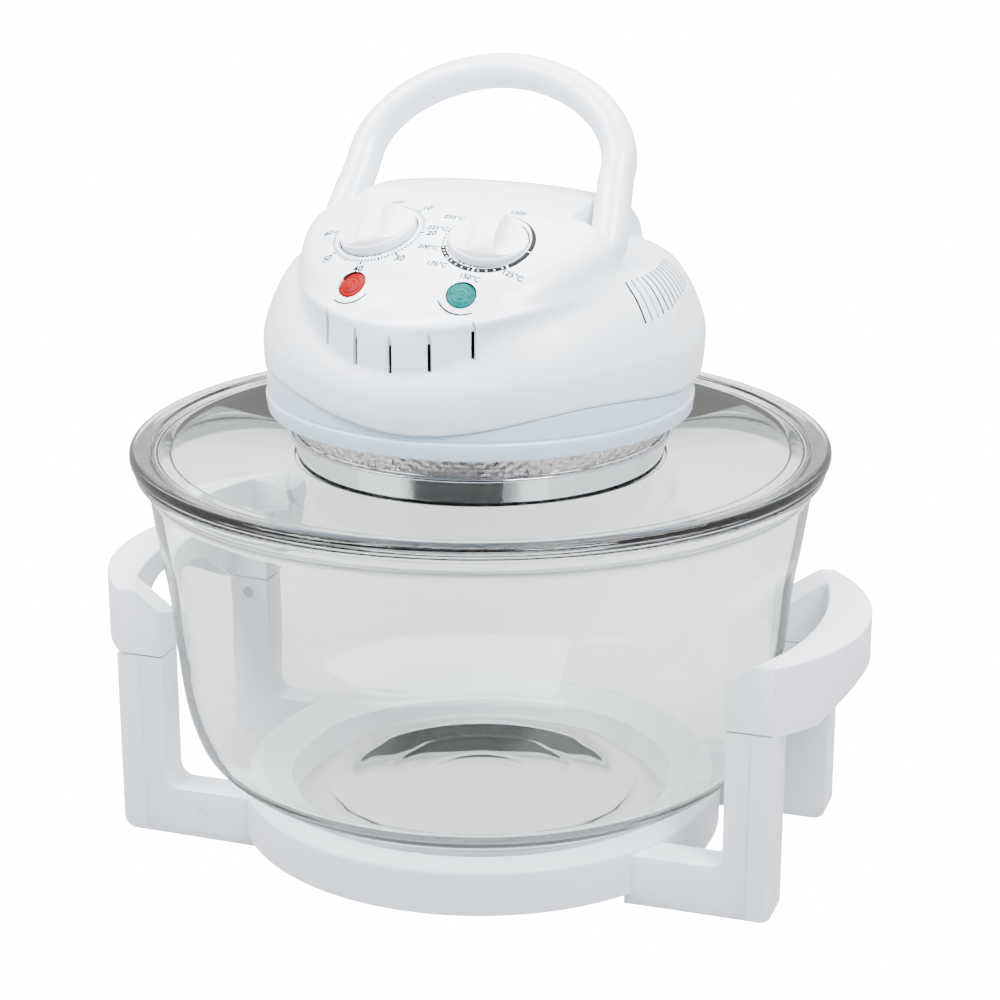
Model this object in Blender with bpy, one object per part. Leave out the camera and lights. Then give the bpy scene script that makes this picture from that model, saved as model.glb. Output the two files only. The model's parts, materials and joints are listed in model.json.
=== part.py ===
"""Countertop halogen oven: a glass bowl in a moulded stand, a lift-off glass lid and the heater head on it.

Metres, +Z up. The origin lies on the floor on the bowl's axis and the front faces -Y.
The head is turned a little on the lid, so its pieces hang on an empty, and the two dials have an empty each.
"""
from math import acos, asin, atan2, copysign, cos, pi, radians, sin, sqrt, tan

import bmesh
import bpy
from mathutils import Matrix, Vector

# Clearances that all pieces share
GAP = 0.0003            # between faces that touch on the real oven
RUN_GAP = 0.0006        # round what turns or slides
OVERRUN = 0.004         # how far a cutter passes the face it cuts
SEAM = 0.0012           # how deep two joined shapes enter each other
WELD = 0.000003         # vertices closer than this are one

# Head
HEAD_R = 0.1030         # reach of the housing to the front

# Glass bowl
BOWL_TOP_Z = 0.1910     # top of the rim
BOWL_BASE_Z = 0.0180    # underside of the flat base, clear of the table
BOWL_RIM_R = 0.1630     # outside of the rim bead
BOWL_WALL = 0.0042      # glass of the wall
BOWL_FLOOR = 0.0050     # glass of the base

# The bowl's outer face from the base to under the bead: shares of the rim radius and of the bowl's height
BOWL_PROFILE_shares = (
    (0.455, 0.000), (0.560, 0.025), (0.658, 0.069), (0.718, 0.104), (0.776, 0.142), (0.812, 0.168),
    (0.839, 0.197), (0.852, 0.225), (0.863, 0.256), (0.899, 0.474), (0.917, 0.647), (0.942, 0.792),
    (0.963, 0.936),
)
BEAD_H = 0.0056         # height of the rim bead
BEAD_ROUND_share = 0.42  # corner radius of a bead as a share of its height

# Glass lid
LID_OVERHANG = 0.0020   # its rim bead stands this far outside the bowl's
LID_RIM_R = BOWL_RIM_R + LID_OVERHANG
LID_RIM_H = 0.0059      # height of its rim bead
LID_GLASS = 0.0040      # glass of the disc
HOLE_INSET = 0.0142     # the hole that the heater hangs in is this much smaller than the head
LID_HOLE_R = HEAD_R - HOLE_INSET
LID_RISE = 0.0043       # how much higher the disc is at the hole than beside the rim
LID_LIP_DROP = 0.0014   # locating lip under the disc, inside the bowl's mouth
LID_LIP_WIDTH = 0.0060

# Bright collar in the lid's hole
COLLAR_SHEET = 0.0008
COLLAR_FLANGE = 0.0015  # the flange reaches this far past the hole
COLLAR_FLANGE_H = 0.0016
COLLAR_ROOM = 0.0010    # between the lid's hole and the wall
COLLAR_TAPER = 0.0013   # how much the wall draws in down to its foot
COLLAR_DROP = 0.0145    # from the flange's top down to the foot
COLLAR_LIP = 0.0048     # lip under the guard

# Dimpled heat shield between the collar and the head
SHIELD_SHEET = 0.0008
SHIELD_INSET = 0.0013   # its foot stands this far inside the lid's hole
SHIELD_FLARE = 0.0015
SHIELD_H = 0.0132
SHIELD_LIP = 0.0060

# Pale ring under the head
RING_WALL = 0.0022
RING_INSET = 0.0034     # its foot stands this far inside the head's reach
RING_SWELL = 0.0008     # it is widest just under its groove
RING_GROOVE = 0.0014    # depth of the groove
RING_RIM_RISE = 0.0008  # the rim stands out from the groove by this
RING_SKIRT = 0.0030     # how far the outer wall hangs under the floor
RING_GROOVE_RISE = 0.0083  # from the lower edge up to the groove
RING_GROOVE_HALF = 0.0006  # half the groove's height
RING_SHAFT_R = 0.0070   # hole round the motor shaft

# Head housing
HEAD_TURN = radians(-4.0)   # the head is turned on the lid, clockwise from above
HEAD_H = 0.0937         # from the skirt's lower edge to the top
SKIRT_Z = 0.2258        # lower edge of the skirt at the front
SKIRT_ARCH = 0.0060     # how much higher that edge is at the four corners
SKIRT_TURN = radians(6.0)   # its lowest place lies this far to the right of the middle
HEAD_WALL = 0.0025
FASCIA_BACK_share = 0.2087   # the fascia ends here, forward of the axis
SPINE_HALF_share = 0.5262    # half width of the raised back behind the fascia
RECESS_FLOOR_share = 0.375   # the side recesses start inside the shoulders, as a share of the height

# Shoulders: reach front, side, back as shares of HEAD_R, the ribs' powers in front and behind,
# and the height front, side, back as shares of HEAD_H
SHOULDER_shares = (
    (0.990, 0.985, 0.985, 1.9, 2.3, 0.000, 0.055, 0.040),
    (1.003, 0.990, 1.022, 1.9, 2.3, 0.088, 0.152, 0.152),
    (1.000, 0.988, 1.032, 1.9, 2.3, 0.190, 0.268, 0.280),
    (0.979, 0.960, 1.004, 1.9, 2.3, 0.253, 0.370, 0.386),
    (0.934, 0.920, 0.957, 1.9, 2.3, 0.311, 0.471, 0.471),
    (0.864, 0.873, 0.907, 1.9, 2.3, 0.375, 0.557, 0.546),
    (0.777, 0.815, 0.835, 1.9, 2.3, 0.440, 0.616, 0.599),
    (0.583, 0.680, 0.680, 1.9, 2.3, 0.525, 0.648, 0.642),
    (0.291, 0.388, 0.388, 1.9, 2.3, 0.621, 0.664, 0.664),
)
SHOULDER_TOP_share = 0.669
SHOULDER_LIFT_POWER = 4.0   # the higher, the sooner the shoulders climb away from the front
# Crown: the sloping fascia in front and the raised back, given in the same way
CROWN_shares = (
    (0.976, 0.740, 1.000, 2.0, 2.0, 0.109, 0.258, 0.152),
    (0.988, 0.748, 1.015, 2.0, 2.0, 0.233, 0.386, 0.280),
    (0.986, 0.752, 1.010, 2.0, 2.0, 0.344, 0.471, 0.398),
    (0.977, 0.754, 0.990, 2.0, 2.0, 0.456, 0.546, 0.493),
    (0.956, 0.756, 0.961, 2.1, 2.1, 0.509, 0.594, 0.557),
    (0.898, 0.757, 0.922, 2.2, 2.2, 0.552, 0.644, 0.616),
    (0.822, 0.755, 0.864, 2.3, 2.3, 0.635, 0.701, 0.680),
    (0.684, 0.743, 0.748, 2.4, 2.4, 0.744, 0.776, 0.760),
    (0.527, 0.692, 0.592, 2.4, 2.4, 0.833, 0.846, 0.840),
    (0.306, 0.560, 0.369, 2.3, 2.3, 0.923, 0.923, 0.918),
    (0.121, 0.290, 0.155, 2.1, 2.1, 0.970, 0.964, 0.964),
)
CROWN_TOP_share = 0.985
CROWN_LIFT_POWER = 2.0

# Five upright slots in the fascia: side place and the height of the lower end, as shares
SLOT_PLACE_shares = (-0.341, -0.171, 0.0, 0.171, 0.341)
SLOT_NOSE_share = 0.63  # radius of the nose that the slots stand round
SLOT_W = 0.0017
SLOT_H = 0.0172
SLOT_POINT_share = 2.0  # length of the pointed end for each slot width
SLOT_DEPTH = 0.0090
SLOT_LOW_share = 0.276
SLOT_RISE_share = 0.70  # how fast the slots climb away from the middle

# Cheek vents: a fan of narrow slots on either side
VENT_COUNT = 12
VENT_W = 0.0011
VENT_LENGTHS = (0.0210, 0.0165)
VENT_TURNS = (radians(73.0), radians(107.0))
VENT_TILTS = (radians(42.0), radians(48.0))
VENT_REACH_share = 0.862
VENT_HEIGHT_shares = (0.515, 0.552)
VENT_DEPTH = 0.0045

# Dials
DIAL_SIDE_share = 0.259
DIAL_FORWARD_share = 0.515
DIAL_TILT = radians(21.0)
DIAL_AZIMUTH = radians(25.0)
DIAL_OFF_TURN = radians(11.0)  # the grips point here, left of straight back
KNOB_R = 0.0176
KNOB_H = 0.0098         # from the panel to the top of the grip
KNOB_RIM_H = 0.0014     # the rim's height over the panel
KNOB_SEAT = 0.0030      # depth of the round seat in the panel
KNOB_DOME_POWER = 1.1   # a little fuller than a quarter circle
# Side place and height of a knob's sloping flat, from the grip outward
KNOB_FLAT_shares = ((0.25, 1.00), (0.32, 0.55), (0.39, 0.40), (0.52, 0.31), (1.00, 0.17))
SPINDLE_R = 0.0030
SPINDLE_IN_KNOB = 0.0050
SPINDLE_IN_BODY = 0.0060
DIAL_PAD = 0.0026       # floor under the knob's seat

# Timer and thermostat under the dials
TIMER_R = 0.0170
TIMER_DEPTH = 0.0220
TIMER_FOOT_share = 0.70    # its narrower foot
TIMER_STEP_shares = (0.75, 0.80)  # where the case draws in, down its depth
THERMOSTAT_W = 0.0230
THERMOSTAT_L = 0.0260
THERMOSTAT_DEPTH = 0.0180
TAB_W = 0.0065          # flat terminals of the thermostat
TAB_L = 0.0043

# Indicator lenses
LENS_SIDE_share = 0.255
LENS_FORWARD_share = 0.796
LENS_TILT = radians(42.0)
LENS_AZIMUTH = radians(17.0)
LENS_R = 0.0065
LENS_DOME = 0.0016
LENS_BODY = 0.0058
LENS_FLANGE_R = 0.0084
LENS_FLANGE_H = 0.0012
LENS_SEAT = 0.0034      # the flange's face lies this far under the panel
PILOT_R = 0.0032
PILOT_L = 0.0120

# Carry handle
PIVOT_FORWARD_share = 0.0971
PIVOT_HEIGHT_share = 0.7492
LIMB_ROOM = 0.0033      # between the raised back and the limb's foot
LIMB_DRAW = 0.0033      # the limbs draw in by this up to the arch
HANDLE_LEAN = radians(35.5)  # it leans back as the photograph shows it
LIMB_H = 0.0363
ARCH_H = 0.0833
ARCH_POWER = 1.9
HANDLE_R = 0.0082       # half thickness of the arch
HANDLE_FOOT_R = 0.0088  # half thickness at the pivots
HANDLE_CAP_shares = (0.35, 0.70, 0.92)  # rings of the ball ends, along their radius
POCKET_CLEAR = 0.0019   # room round the handle's foot in the cheek
PIN_R = 0.0030
PIN_HEAD_R = 0.0055
PIN_HEAD_H = 0.0020
PIN_IN_LIMB = 0.0085
PIVOT_BOSS_R = 0.0080

# Screws of the head
COLUMN_R = 0.0042
COLUMN_REACH_share = 0.9010
COLUMN_ROOT_share = 0.12  # the columns grow out of the skirt below this height
COLUMN_TOP_share = 0.60
SCREW_R = 0.0016
SCREW_HEAD_R = 0.0030
SCREW_HEAD_H = 0.0012
SCREW_BITE = 0.0100

# Cord gland at the back
GLAND_Z = 0.2400
GLAND_R = 0.0062
GLAND_BORE_R = 0.0041
GLAND_FLANGE = 0.0022
GLAND_FLANGE_H = 0.0016
GLAND_NOSE_H = 0.0032   # the outer flange narrows over this length

# Heater and fans
LAMP_RING_share = 0.6757    # radius of its ring as a share of the lid's hole
LAMP_TUBE_R = 0.0045
LAMP_OPEN = radians(34.0)   # gap between the lamp's ends
LAMP_DROP = 0.0165      # lamp under the reflector's flat top
HOLDER_W = 0.0110
HOLDER_L = 0.0120
HOLDER_H = 0.0080
REFLECTOR_SHEET = 0.0008
REFLECTOR_SLOPE = 0.0170    # width of its sloping edge
REFLECTOR_INSET = 0.0038    # its edge stands this far inside the lid's hole
REFLECTOR_DROP = 0.0075
GUARD_BAR = 0.0013       # thickness of its bars
GUARD_RIM_W = 0.0039
GUARD_RING_W = 0.0021
GUARD_SPOKE_INSET = 0.0003  # the spokes are thinner than the rings
GUARD_HUB_R = 0.0110
GUARD_RINGS = 2
GUARD_SPOKES = 6
GUARD_TURN = radians(30.0)
SHAFT_R = 0.0030
SHAFT_BELOW = 0.0125    # under the reflector's flat top
SHAFT_ABOVE = 0.0110    # over the motor
MOTOR_R = 0.0260
MOTOR_H = 0.0250
MOTOR_END_R = 0.0110
MOTOR_END_H = 0.0040
FAN_R = 0.0400
FAN_H = 0.0055
FAN_DROP = 0.0052
FAN_BLADES = 6
COOLER_R = 0.0340
COOLER_H = 0.0055
BLADE_SHEET = 0.0009
BLADE_WIDTH_share = 0.94   # of the width that fits the fan's height
BLADE_shares = ((0.72, -1.0), (0.98, -0.5), (0.98, 0.6), (0.72, 1.0))  # reach and half width of its outline
BLADE_ROOT_share = 0.7
FAN_LEAN = radians(28.0)
COOLER_LEAN = radians(-24.0)
HUB_R = 0.0080
TERMINAL_SIZE = (0.0300, 0.0110, 0.0100)
TERMINAL_BACK = 0.0560
TERMINAL_WAYS = 4
TERMINAL_WAY_share = 0.28  # radius of a way, as a share of their pitch
CUTOUT_R = 0.0085
CUTOUT_H = 0.0060
CUTOUT_CAP_shares = (0.80, 0.60)  # radius of its cap, and where the cap starts
CUTOUT_SIDE = 0.0560
SWITCH_SIZE = (0.0110, 0.0200, 0.0120)

# Stand
STAND_HALF_Y = 0.0678   # the legs' front and rear faces
LEG_DEPTH = 0.0178
LEG_UNDER_RIM = 0.0245  # the legs' inner faces lie this far inside the bowl's rim
LEG_WIDTH = 0.0240
LEG_CORNER_R = 0.0050
BAR_H = 0.0250
BAR_ROOT = 0.0245       # how far a bar reaches into the seat ring
BAR_FILLET_R = 0.0070
STAND_WALL = 0.0024
SEAT_RING_INNER_DROP = 0.0048  # the ring's closed top is this deep at its bore
FOOT_PAD = 0.0030       # closed foot under each leg
SEAT_RING_share = 0.7209     # outer radius as a share of the bowl's rim
SEAT_RING_LOW_Z = 0.0050
SEAT_RING_EDGE_Z = 0.0264
SEAT_RING_TOP_Z = 0.0310
SEAT_RING_CHAMFER = 0.0060
SEAT_RING_BORE_share = 0.5828
BOWL_SIDE_GAP = 0.0010  # between the bowl and the legs

# Side handles of the stand
GRIP_TOP_Z = 0.1250
GRIP_ROOM = 0.0035      # between the bowl's rim and the inner edge, seen from above
GRIP_OUTER_R = 0.0955
GRIP_WIDTH = 0.0220     # across its middle
GRIP_END_Z = 0.0920     # lower edge of the ends, over the legs
GRIP_ARCH_Z = 0.1030    # lower edge in the middle
GRIP_INNER_WALL_Z = 0.1130
GRIP_CONE_SLOPE = 1.286  # the lead-in for the bowl, outward for each unit of height
CAP_PROUD = 0.0005      # the ends stand out from the legs by this
TENON_H = 0.0150
TENON_BOSS = 0.0120     # boss of the grip that hangs into the leg
LEG_SCREW_DROP = 0.0080  # screw under the grip's end
LEG_SCREW_BITE = 0.0060

# Steps round the turned pieces
ROUND_STEPS = 32
MEDIUM_STEPS = 24
CAVITY_STEPS = 20
SMALL_STEPS = 14
TINY_STEPS = 8
CASE_STEPS = 18
LAMP_STEPS = 20
BEAD_STEPS = 2
CORNER_STEPS = 3
FILLET_STEPS = 4
GRIP_OUTER_STEPS = 14
GRIP_INNER_STEPS = 10
DOME_STEPS = 5
LENS_STEPS = 3
LIMB_STEPS = 4
ARCH_STEPS = 9
HANDLE_SIDES = 12
HALVINGS = 24

# Radii and places worked out from the sizes above
COLLAR_FLANGE_R = LID_HOLE_R + COLLAR_FLANGE
COLLAR_WALL_R = LID_HOLE_R - COLLAR_ROOM
COLLAR_FOOT_R = COLLAR_WALL_R - COLLAR_TAPER
SHIELD_FOOT_R = LID_HOLE_R - SHIELD_INSET
SHIELD_TOP_R = SHIELD_FOOT_R + SHIELD_FLARE
RING_FOOT_R = HEAD_R - RING_INSET
RING_WIDE_R = RING_FOOT_R + RING_SWELL
RING_GROOVE_R = RING_WIDE_R - RING_GROOVE
RING_RIM_R = RING_GROOVE_R + RING_RIM_RISE
FASCIA_BACK = HEAD_R * FASCIA_BACK_share
SPINE_HALF = HEAD_R * SPINE_HALF_share
COLUMN_REACH = HEAD_R * COLUMN_REACH_share
PIVOT_FORWARD = HEAD_R * PIVOT_FORWARD_share
PIVOT_SIDE = SPINE_HALF + LIMB_ROOM + HANDLE_FOOT_R
LIMB_SIDE = PIVOT_SIDE - LIMB_DRAW
PIVOT_Z = SKIRT_Z + HEAD_H * PIVOT_HEIGHT_share
LAMP_RING_R = LID_HOLE_R * LAMP_RING_share
REFLECTOR_R = LID_HOLE_R - REFLECTOR_INSET
REFLECTOR_FLAT_R = REFLECTOR_R - REFLECTOR_SLOPE
LEG_IN_X = BOWL_RIM_R - LEG_UNDER_RIM
LEG_OUT_X = LEG_IN_X + LEG_WIDTH
SEAT_RING_R = BOWL_RIM_R * SEAT_RING_share
SEAT_RING_BORE_R = BOWL_RIM_R * SEAT_RING_BORE_share
BAR_START_X = SEAT_RING_R - BAR_ROOT
GRIP_INNER_R = BOWL_RIM_R + GRIP_ROOM
GRIP_OUTER_X = GRIP_INNER_R + GRIP_WIDTH - GRIP_OUTER_R

# Levels worked out from the sizes above
LID_Z = BOWL_TOP_Z + GAP
LID_DISC_Z = LID_Z + LID_RIM_H
LID_HOLE_Z = LID_DISC_Z + LID_RISE
COLLAR_Z = LID_HOLE_Z + GAP + COLLAR_FLANGE_H
COLLAR_FOOT_Z = COLLAR_Z - COLLAR_DROP
SHIELD_Z = COLLAR_Z + GAP
SHIELD_TOP_Z = SHIELD_Z + SHIELD_H
FLOOR_Z = SHIELD_TOP_Z + GAP
FLOOR_TOP_Z = FLOOR_Z + RING_WALL
RING_LOW_Z = FLOOR_Z - RING_SKIRT
REFLECTOR_TOP_Z = SHIELD_TOP_Z - SHIELD_SHEET - GAP
MOTOR_Z = FLOOR_TOP_Z + GAP
MOTOR_TOP_Z = MOTOR_Z + MOTOR_H + MOTOR_END_H
SHAFT_TOP_Z = MOTOR_TOP_Z + SHAFT_ABOVE
SHAFT_LOW_Z = REFLECTOR_TOP_Z - SHAFT_BELOW
BOWL_H = BOWL_TOP_Z - BOWL_BASE_Z


def clear_scene():
    """Empty the scene without closing the file."""
    for old in list(bpy.data.objects):
        bpy.data.objects.remove(old, do_unlink=True)


def material(name, colour, roughness, metallic=0.0, transmission=0.0):
    """A Principled material in the part's own colour."""
    made = bpy.data.materials.new(name)
    made.use_nodes = True
    shader = made.node_tree.nodes["Principled BSDF"]
    shader.inputs["Base Color"].default_value = (*colour, 1.0)
    shader.inputs["Roughness"].default_value = roughness
    shader.inputs["Metallic"].default_value = metallic
    shader.inputs["Transmission Weight"].default_value = transmission
    made.diffuse_color = (*colour, 1.0)
    return made


def add_object(name, mesh):
    """Link a mesh to the scene under the piece's name."""
    made = bpy.data.objects.new(name, mesh)
    bpy.context.scene.collection.objects.link(made)
    return made


def mesh_from(bm, name):
    """Turn a bmesh into a mesh with its faces pointing out."""
    bmesh.ops.recalc_face_normals(bm, faces=bm.faces)
    mesh = bpy.data.meshes.new(name)
    bm.to_mesh(mesh)
    bm.free()
    return mesh


def evaluate(piece):
    """Bake the modifiers of one piece into its mesh."""
    graph = bpy.context.evaluated_depsgraph_get()
    mesh = bpy.data.meshes.new_from_object(piece.evaluated_get(graph))
    piece.modifiers.clear()
    piece.data = mesh
    return piece


def combine(piece, others, operation):
    """Join, cut or clip a piece with others, one after another, and remove them."""
    for other in others:
        step = piece.modifiers.new("combine", "BOOLEAN")
        step.operation = operation
        step.solver = "EXACT"
        step.object = other
        evaluate(piece)
        bpy.data.objects.remove(other, do_unlink=True)
    return piece


def cut(piece, *cutters):
    return combine(piece, cutters, "DIFFERENCE")


def join(piece, *others):
    return combine(piece, others, "UNION")


def finish(piece, surface, parent=None, sharp=radians(35.0)):
    """Give a piece its material, its smooth shading and its parent."""
    piece.data.materials.clear()
    piece.data.materials.append(surface)
    piece.data.shade_smooth()
    piece.data.set_sharp_from_angle(angle=sharp)
    piece.parent = parent
    return piece


def turned(name, profile, steps=ROUND_STEPS, matrix=None):
    """An outline of radius and height, spun round the Z axis; it is closed or ends on the axis."""
    bm = bmesh.new()
    ring = [bm.verts.new((radius, 0.0, z)) for radius, z in profile]
    edges = [bm.edges.new(pair) for pair in zip(ring, ring[1:])]
    if profile[0][0] > 0.0:
        edges.append(bm.edges.new((ring[-1], ring[0])))
    bmesh.ops.spin(
        bm, geom=ring + edges, axis=(0.0, 0.0, 1.0), cent=(0.0, 0.0, 0.0),
        steps=steps, angle=2.0 * pi, use_merge=True,
    )
    bmesh.ops.remove_doubles(bm, verts=bm.verts, dist=WELD)
    return placed(add_object(name, mesh_from(bm, name)), matrix)


def placed(piece, matrix):
    """Move a piece's mesh by a matrix, so that the piece itself stays unturned."""
    if matrix is not None:
        piece.data.transform(matrix)
    return piece


def lofted(name, rings, low_pole=None, high_pole=None, matrix=None):
    """Skin closed rings of equal count, with a flat end or a pole at either side."""
    bm = bmesh.new()
    rows = [[bm.verts.new(point) for point in ring] for ring in rings]
    count = len(rows[0])
    for low, high in zip(rows, rows[1:]):
        for i in range(count):
            j = (i + 1) % count
            bm.faces.new((low[i], low[j], high[j], high[i]))
    for row, pole in ((rows[0], low_pole), (rows[-1], high_pole)):
        if pole is None:
            bm.faces.new(row)
            continue
        tip = bm.verts.new(pole)
        for i in range(count):
            bm.faces.new((row[i], row[(i + 1) % count], tip))
    return placed(add_object(name, mesh_from(bm, name)), matrix)


def prism(name, outline, low, high, matrix=None):
    """An outline in the XY plane, extruded along Z."""
    rings = [[(x, y, z) for x, y in outline] for z in (low, high)]
    return lofted(name, rings, matrix=matrix)


def block(name, low, high, matrix=None):
    """A box between two corners."""
    outline = ((low[0], low[1]), (high[0], low[1]), (high[0], high[1]), (low[0], high[1]))
    return prism(name, outline, low[2], high[2], matrix)


def rod(name, radius, low, high, steps=SMALL_STEPS, matrix=None):
    """A plain cylinder on the Z axis."""
    turns = [2.0 * pi * k / steps for k in range(steps)]
    return prism(name, [(radius * cos(turn), radius * sin(turn)) for turn in turns], low, high, matrix)


def along_x(side, forward, z):
    """Frame on the head's side: its Z axis points outward, to the right for side 1."""
    turn = Matrix.Rotation(side * pi / 2.0, 4, "Y")
    return Matrix.Translation((0.0, -forward, z)) @ turn


def fascia_height(side, forward):
    """Height of the fascia over a place in its plan, read between its ribs."""
    line = []
    for front, across, _, power, _, low, middle, _ in CROWN_shares:
        share = abs(side) / (across * HEAD_R)
        if share < 1.0:
            ahead = 1.0 - share ** power
            height = middle + (low - middle) * ahead
            line.append((front * HEAD_R * ahead ** (1.0 / power), SKIRT_Z + HEAD_H * height))
    for (far, low), (near, high) in zip(line, line[1:]):
        if near <= forward <= far:
            return low + (high - low) * (far - forward) / (far - near)
    return line[-1][1]


def panel_frame(side, side_share, forward_share, tilt, azimuth):
    """Frame on the sloping panel: Z is the outward normal and Y runs to the back."""
    across, forward = side_share * HEAD_R, forward_share * HEAD_R
    normal = Vector((side * sin(tilt) * sin(azimuth), -sin(tilt) * cos(azimuth), cos(tilt)))
    back = Vector((0.0, 1.0, 0.0))
    back = (back - normal * back.dot(normal)).normalized()
    right = back.cross(normal)
    place = Vector((side * across, -forward, fascia_height(across, forward)))
    turn = Matrix((right, back, normal)).transposed().to_4x4()
    return Matrix.Translation(place) @ turn


def arc(centre, radius, start, end, steps):
    """Points on a circular arc, both ends included."""
    return [
        (centre[0] + radius * cos(start + (end - start) * i / steps),
         centre[1] + radius * sin(start + (end - start) * i / steps))
        for i in range(steps + 1)
    ]


def offset_line(points, distance):
    """Shift an open outline of radius and height to its left by a distance."""
    shifted = []
    for i, point in enumerate(points):
        before = points[max(i - 1, 0)]
        after = points[min(i + 1, len(points) - 1)]
        run, rise = after[0] - before[0], after[1] - before[1]
        length = sqrt(run * run + rise * rise)
        shifted.append((point[0] - distance * rise / length, point[1] + distance * run / length))
    return shifted


def bowl_outer():
    """The bowl's outer face from the base upward."""
    return [(BOWL_RIM_R * r, BOWL_BASE_Z + BOWL_H * h) for r, h in BOWL_PROFILE_shares]


def bead(radius, top, height):
    """The round outer edge of a glass rim, from its underside to its top."""
    curve = BEAD_ROUND_share * height
    low = arc((radius - curve, top - height + curve), curve, -pi / 2.0, 0.0, BEAD_STEPS)
    high = arc((radius - curve, top - curve), curve, 0.0, pi / 2.0, BEAD_STEPS)
    return low + high


def radius_at(line, z):
    """Radius of an upward outline at a height."""
    for (r0, z0), (r1, z1) in zip(line, line[1:]):
        if z0 <= z <= z1:
            return r0 + (r1 - r0) * (z - z0) / (z1 - z0)
    return line[-1][0]


def make_bowl(glass):
    outer = bowl_outer()
    inner = offset_line(outer, BOWL_WALL)
    floor_z = BOWL_BASE_Z + BOWL_FLOOR
    inner = [point for point in inner[::2] if point[1] > floor_z + BOWL_WALL]
    mouth_r = inner[-1][0]
    foot_r = (outer[0][0] + outer[1][0]) / 2.0
    profile = [(0.0, BOWL_BASE_Z)] + outer + bead(BOWL_RIM_R, BOWL_TOP_Z, BEAD_H)
    profile += [(mouth_r + GAP, BOWL_TOP_Z)] + inner[::-1]
    profile += [(foot_r, floor_z), (0.0, floor_z)]
    return finish(turned("glass_bowl", profile), glass)


def make_lid(glass):
    """The disc rises a little to its hole, and a low lip finds the bowl's mouth."""
    lip_r = bowl_outer()[-1][0] - BOWL_WALL - RUN_GAP
    under = LID_DISC_Z - LID_GLASS
    profile = [(lip_r + RUN_GAP, LID_Z)] + bead(LID_RIM_R, LID_DISC_Z, LID_RIM_H)
    profile += [(lip_r, LID_DISC_Z), (LID_HOLE_R, LID_HOLE_Z), (LID_HOLE_R, LID_HOLE_Z - LID_GLASS)]
    profile += [(lip_r - LID_LIP_WIDTH, under), (lip_r - LID_LIP_WIDTH, LID_Z - LID_LIP_DROP)]
    profile += [(lip_r, LID_Z - LID_LIP_DROP)]
    return finish(turned("glass_lid", profile), glass)


def make_collar(chrome):
    """Bright collar: a flange on the lid, a wall through its hole and a lip for the guard."""
    top, foot = COLLAR_Z, COLLAR_FOOT_Z
    edge = top - COLLAR_FLANGE_H
    profile = (
        (COLLAR_WALL_R, edge), (COLLAR_FLANGE_R - COLLAR_SHEET / 2.0, edge),
        (COLLAR_FLANGE_R, edge + COLLAR_SHEET / 2.0), (COLLAR_FLANGE_R, top - COLLAR_SHEET / 2.0),
        (COLLAR_FLANGE_R - COLLAR_SHEET / 2.0, top), (COLLAR_WALL_R - COLLAR_SHEET, top),
        (COLLAR_FOOT_R - COLLAR_SHEET, foot + COLLAR_SHEET),
        (COLLAR_FOOT_R - COLLAR_LIP, foot + COLLAR_SHEET), (COLLAR_FOOT_R - COLLAR_LIP, foot),
        (COLLAR_FOOT_R, foot),
    )
    return finish(turned("metal_collar", profile), chrome)


def make_shield(foil, parent):
    """Pressed can over the heater: lip on the collar, flared wall and a flat roof."""
    inner_foot = SHIELD_FOOT_R - SHIELD_SHEET
    inner_top = SHIELD_TOP_R - SHIELD_SHEET
    profile = (
        (SHIELD_FOOT_R - SHIELD_LIP, SHIELD_Z), (SHIELD_FOOT_R, SHIELD_Z), (SHIELD_TOP_R, SHIELD_TOP_Z),
        (RING_SHAFT_R, SHIELD_TOP_Z), (RING_SHAFT_R, SHIELD_TOP_Z - SHIELD_SHEET),
        (inner_top, SHIELD_TOP_Z - SHIELD_SHEET), (inner_foot, SHIELD_Z + SHIELD_SHEET),
        (SHIELD_FOOT_R - SHIELD_LIP, SHIELD_Z + SHIELD_SHEET),
    )
    return finish(turned("heat_shield", profile), foil, parent)


def make_reflector(mirror, parent):
    """Shallow dish over the lamp."""
    top = REFLECTOR_TOP_Z
    low = top - REFLECTOR_DROP
    profile = (
        (RING_SHAFT_R, top), (REFLECTOR_FLAT_R, top), (REFLECTOR_R, low),
        (REFLECTOR_R - REFLECTOR_SHEET, low - REFLECTOR_SHEET / 2.0),
        (REFLECTOR_FLAT_R - REFLECTOR_SHEET / 2.0, top - REFLECTOR_SHEET),
        (RING_SHAFT_R, top - REFLECTOR_SHEET),
    )
    return finish(turned("reflector_dish", profile, MEDIUM_STEPS), mirror, parent)


def skirt_edge(turn):
    """Height of the skirt's lower edge at an angle from the front; it rises towards the four corners."""
    front, side, back = [SKIRT_Z + HEAD_H * height for height in SHOULDER_shares[0][5:]]
    turn -= SKIRT_TURN
    ahead = cos(turn)
    end, weight = (front, ahead ** SHOULDER_LIFT_POWER) if ahead > 0.0 else (back, ahead * ahead)
    return side + (end - side) * weight + SKIRT_ARCH * sin(2.0 * turn) ** 2


def follow_skirt(vertices, gap):
    """Put vertices at the level of the skirt's lower edge, less a gap."""
    for vertex in vertices:
        vertex.co.z = skirt_edge(atan2(vertex.co.x, -vertex.co.y)) - gap


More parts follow.
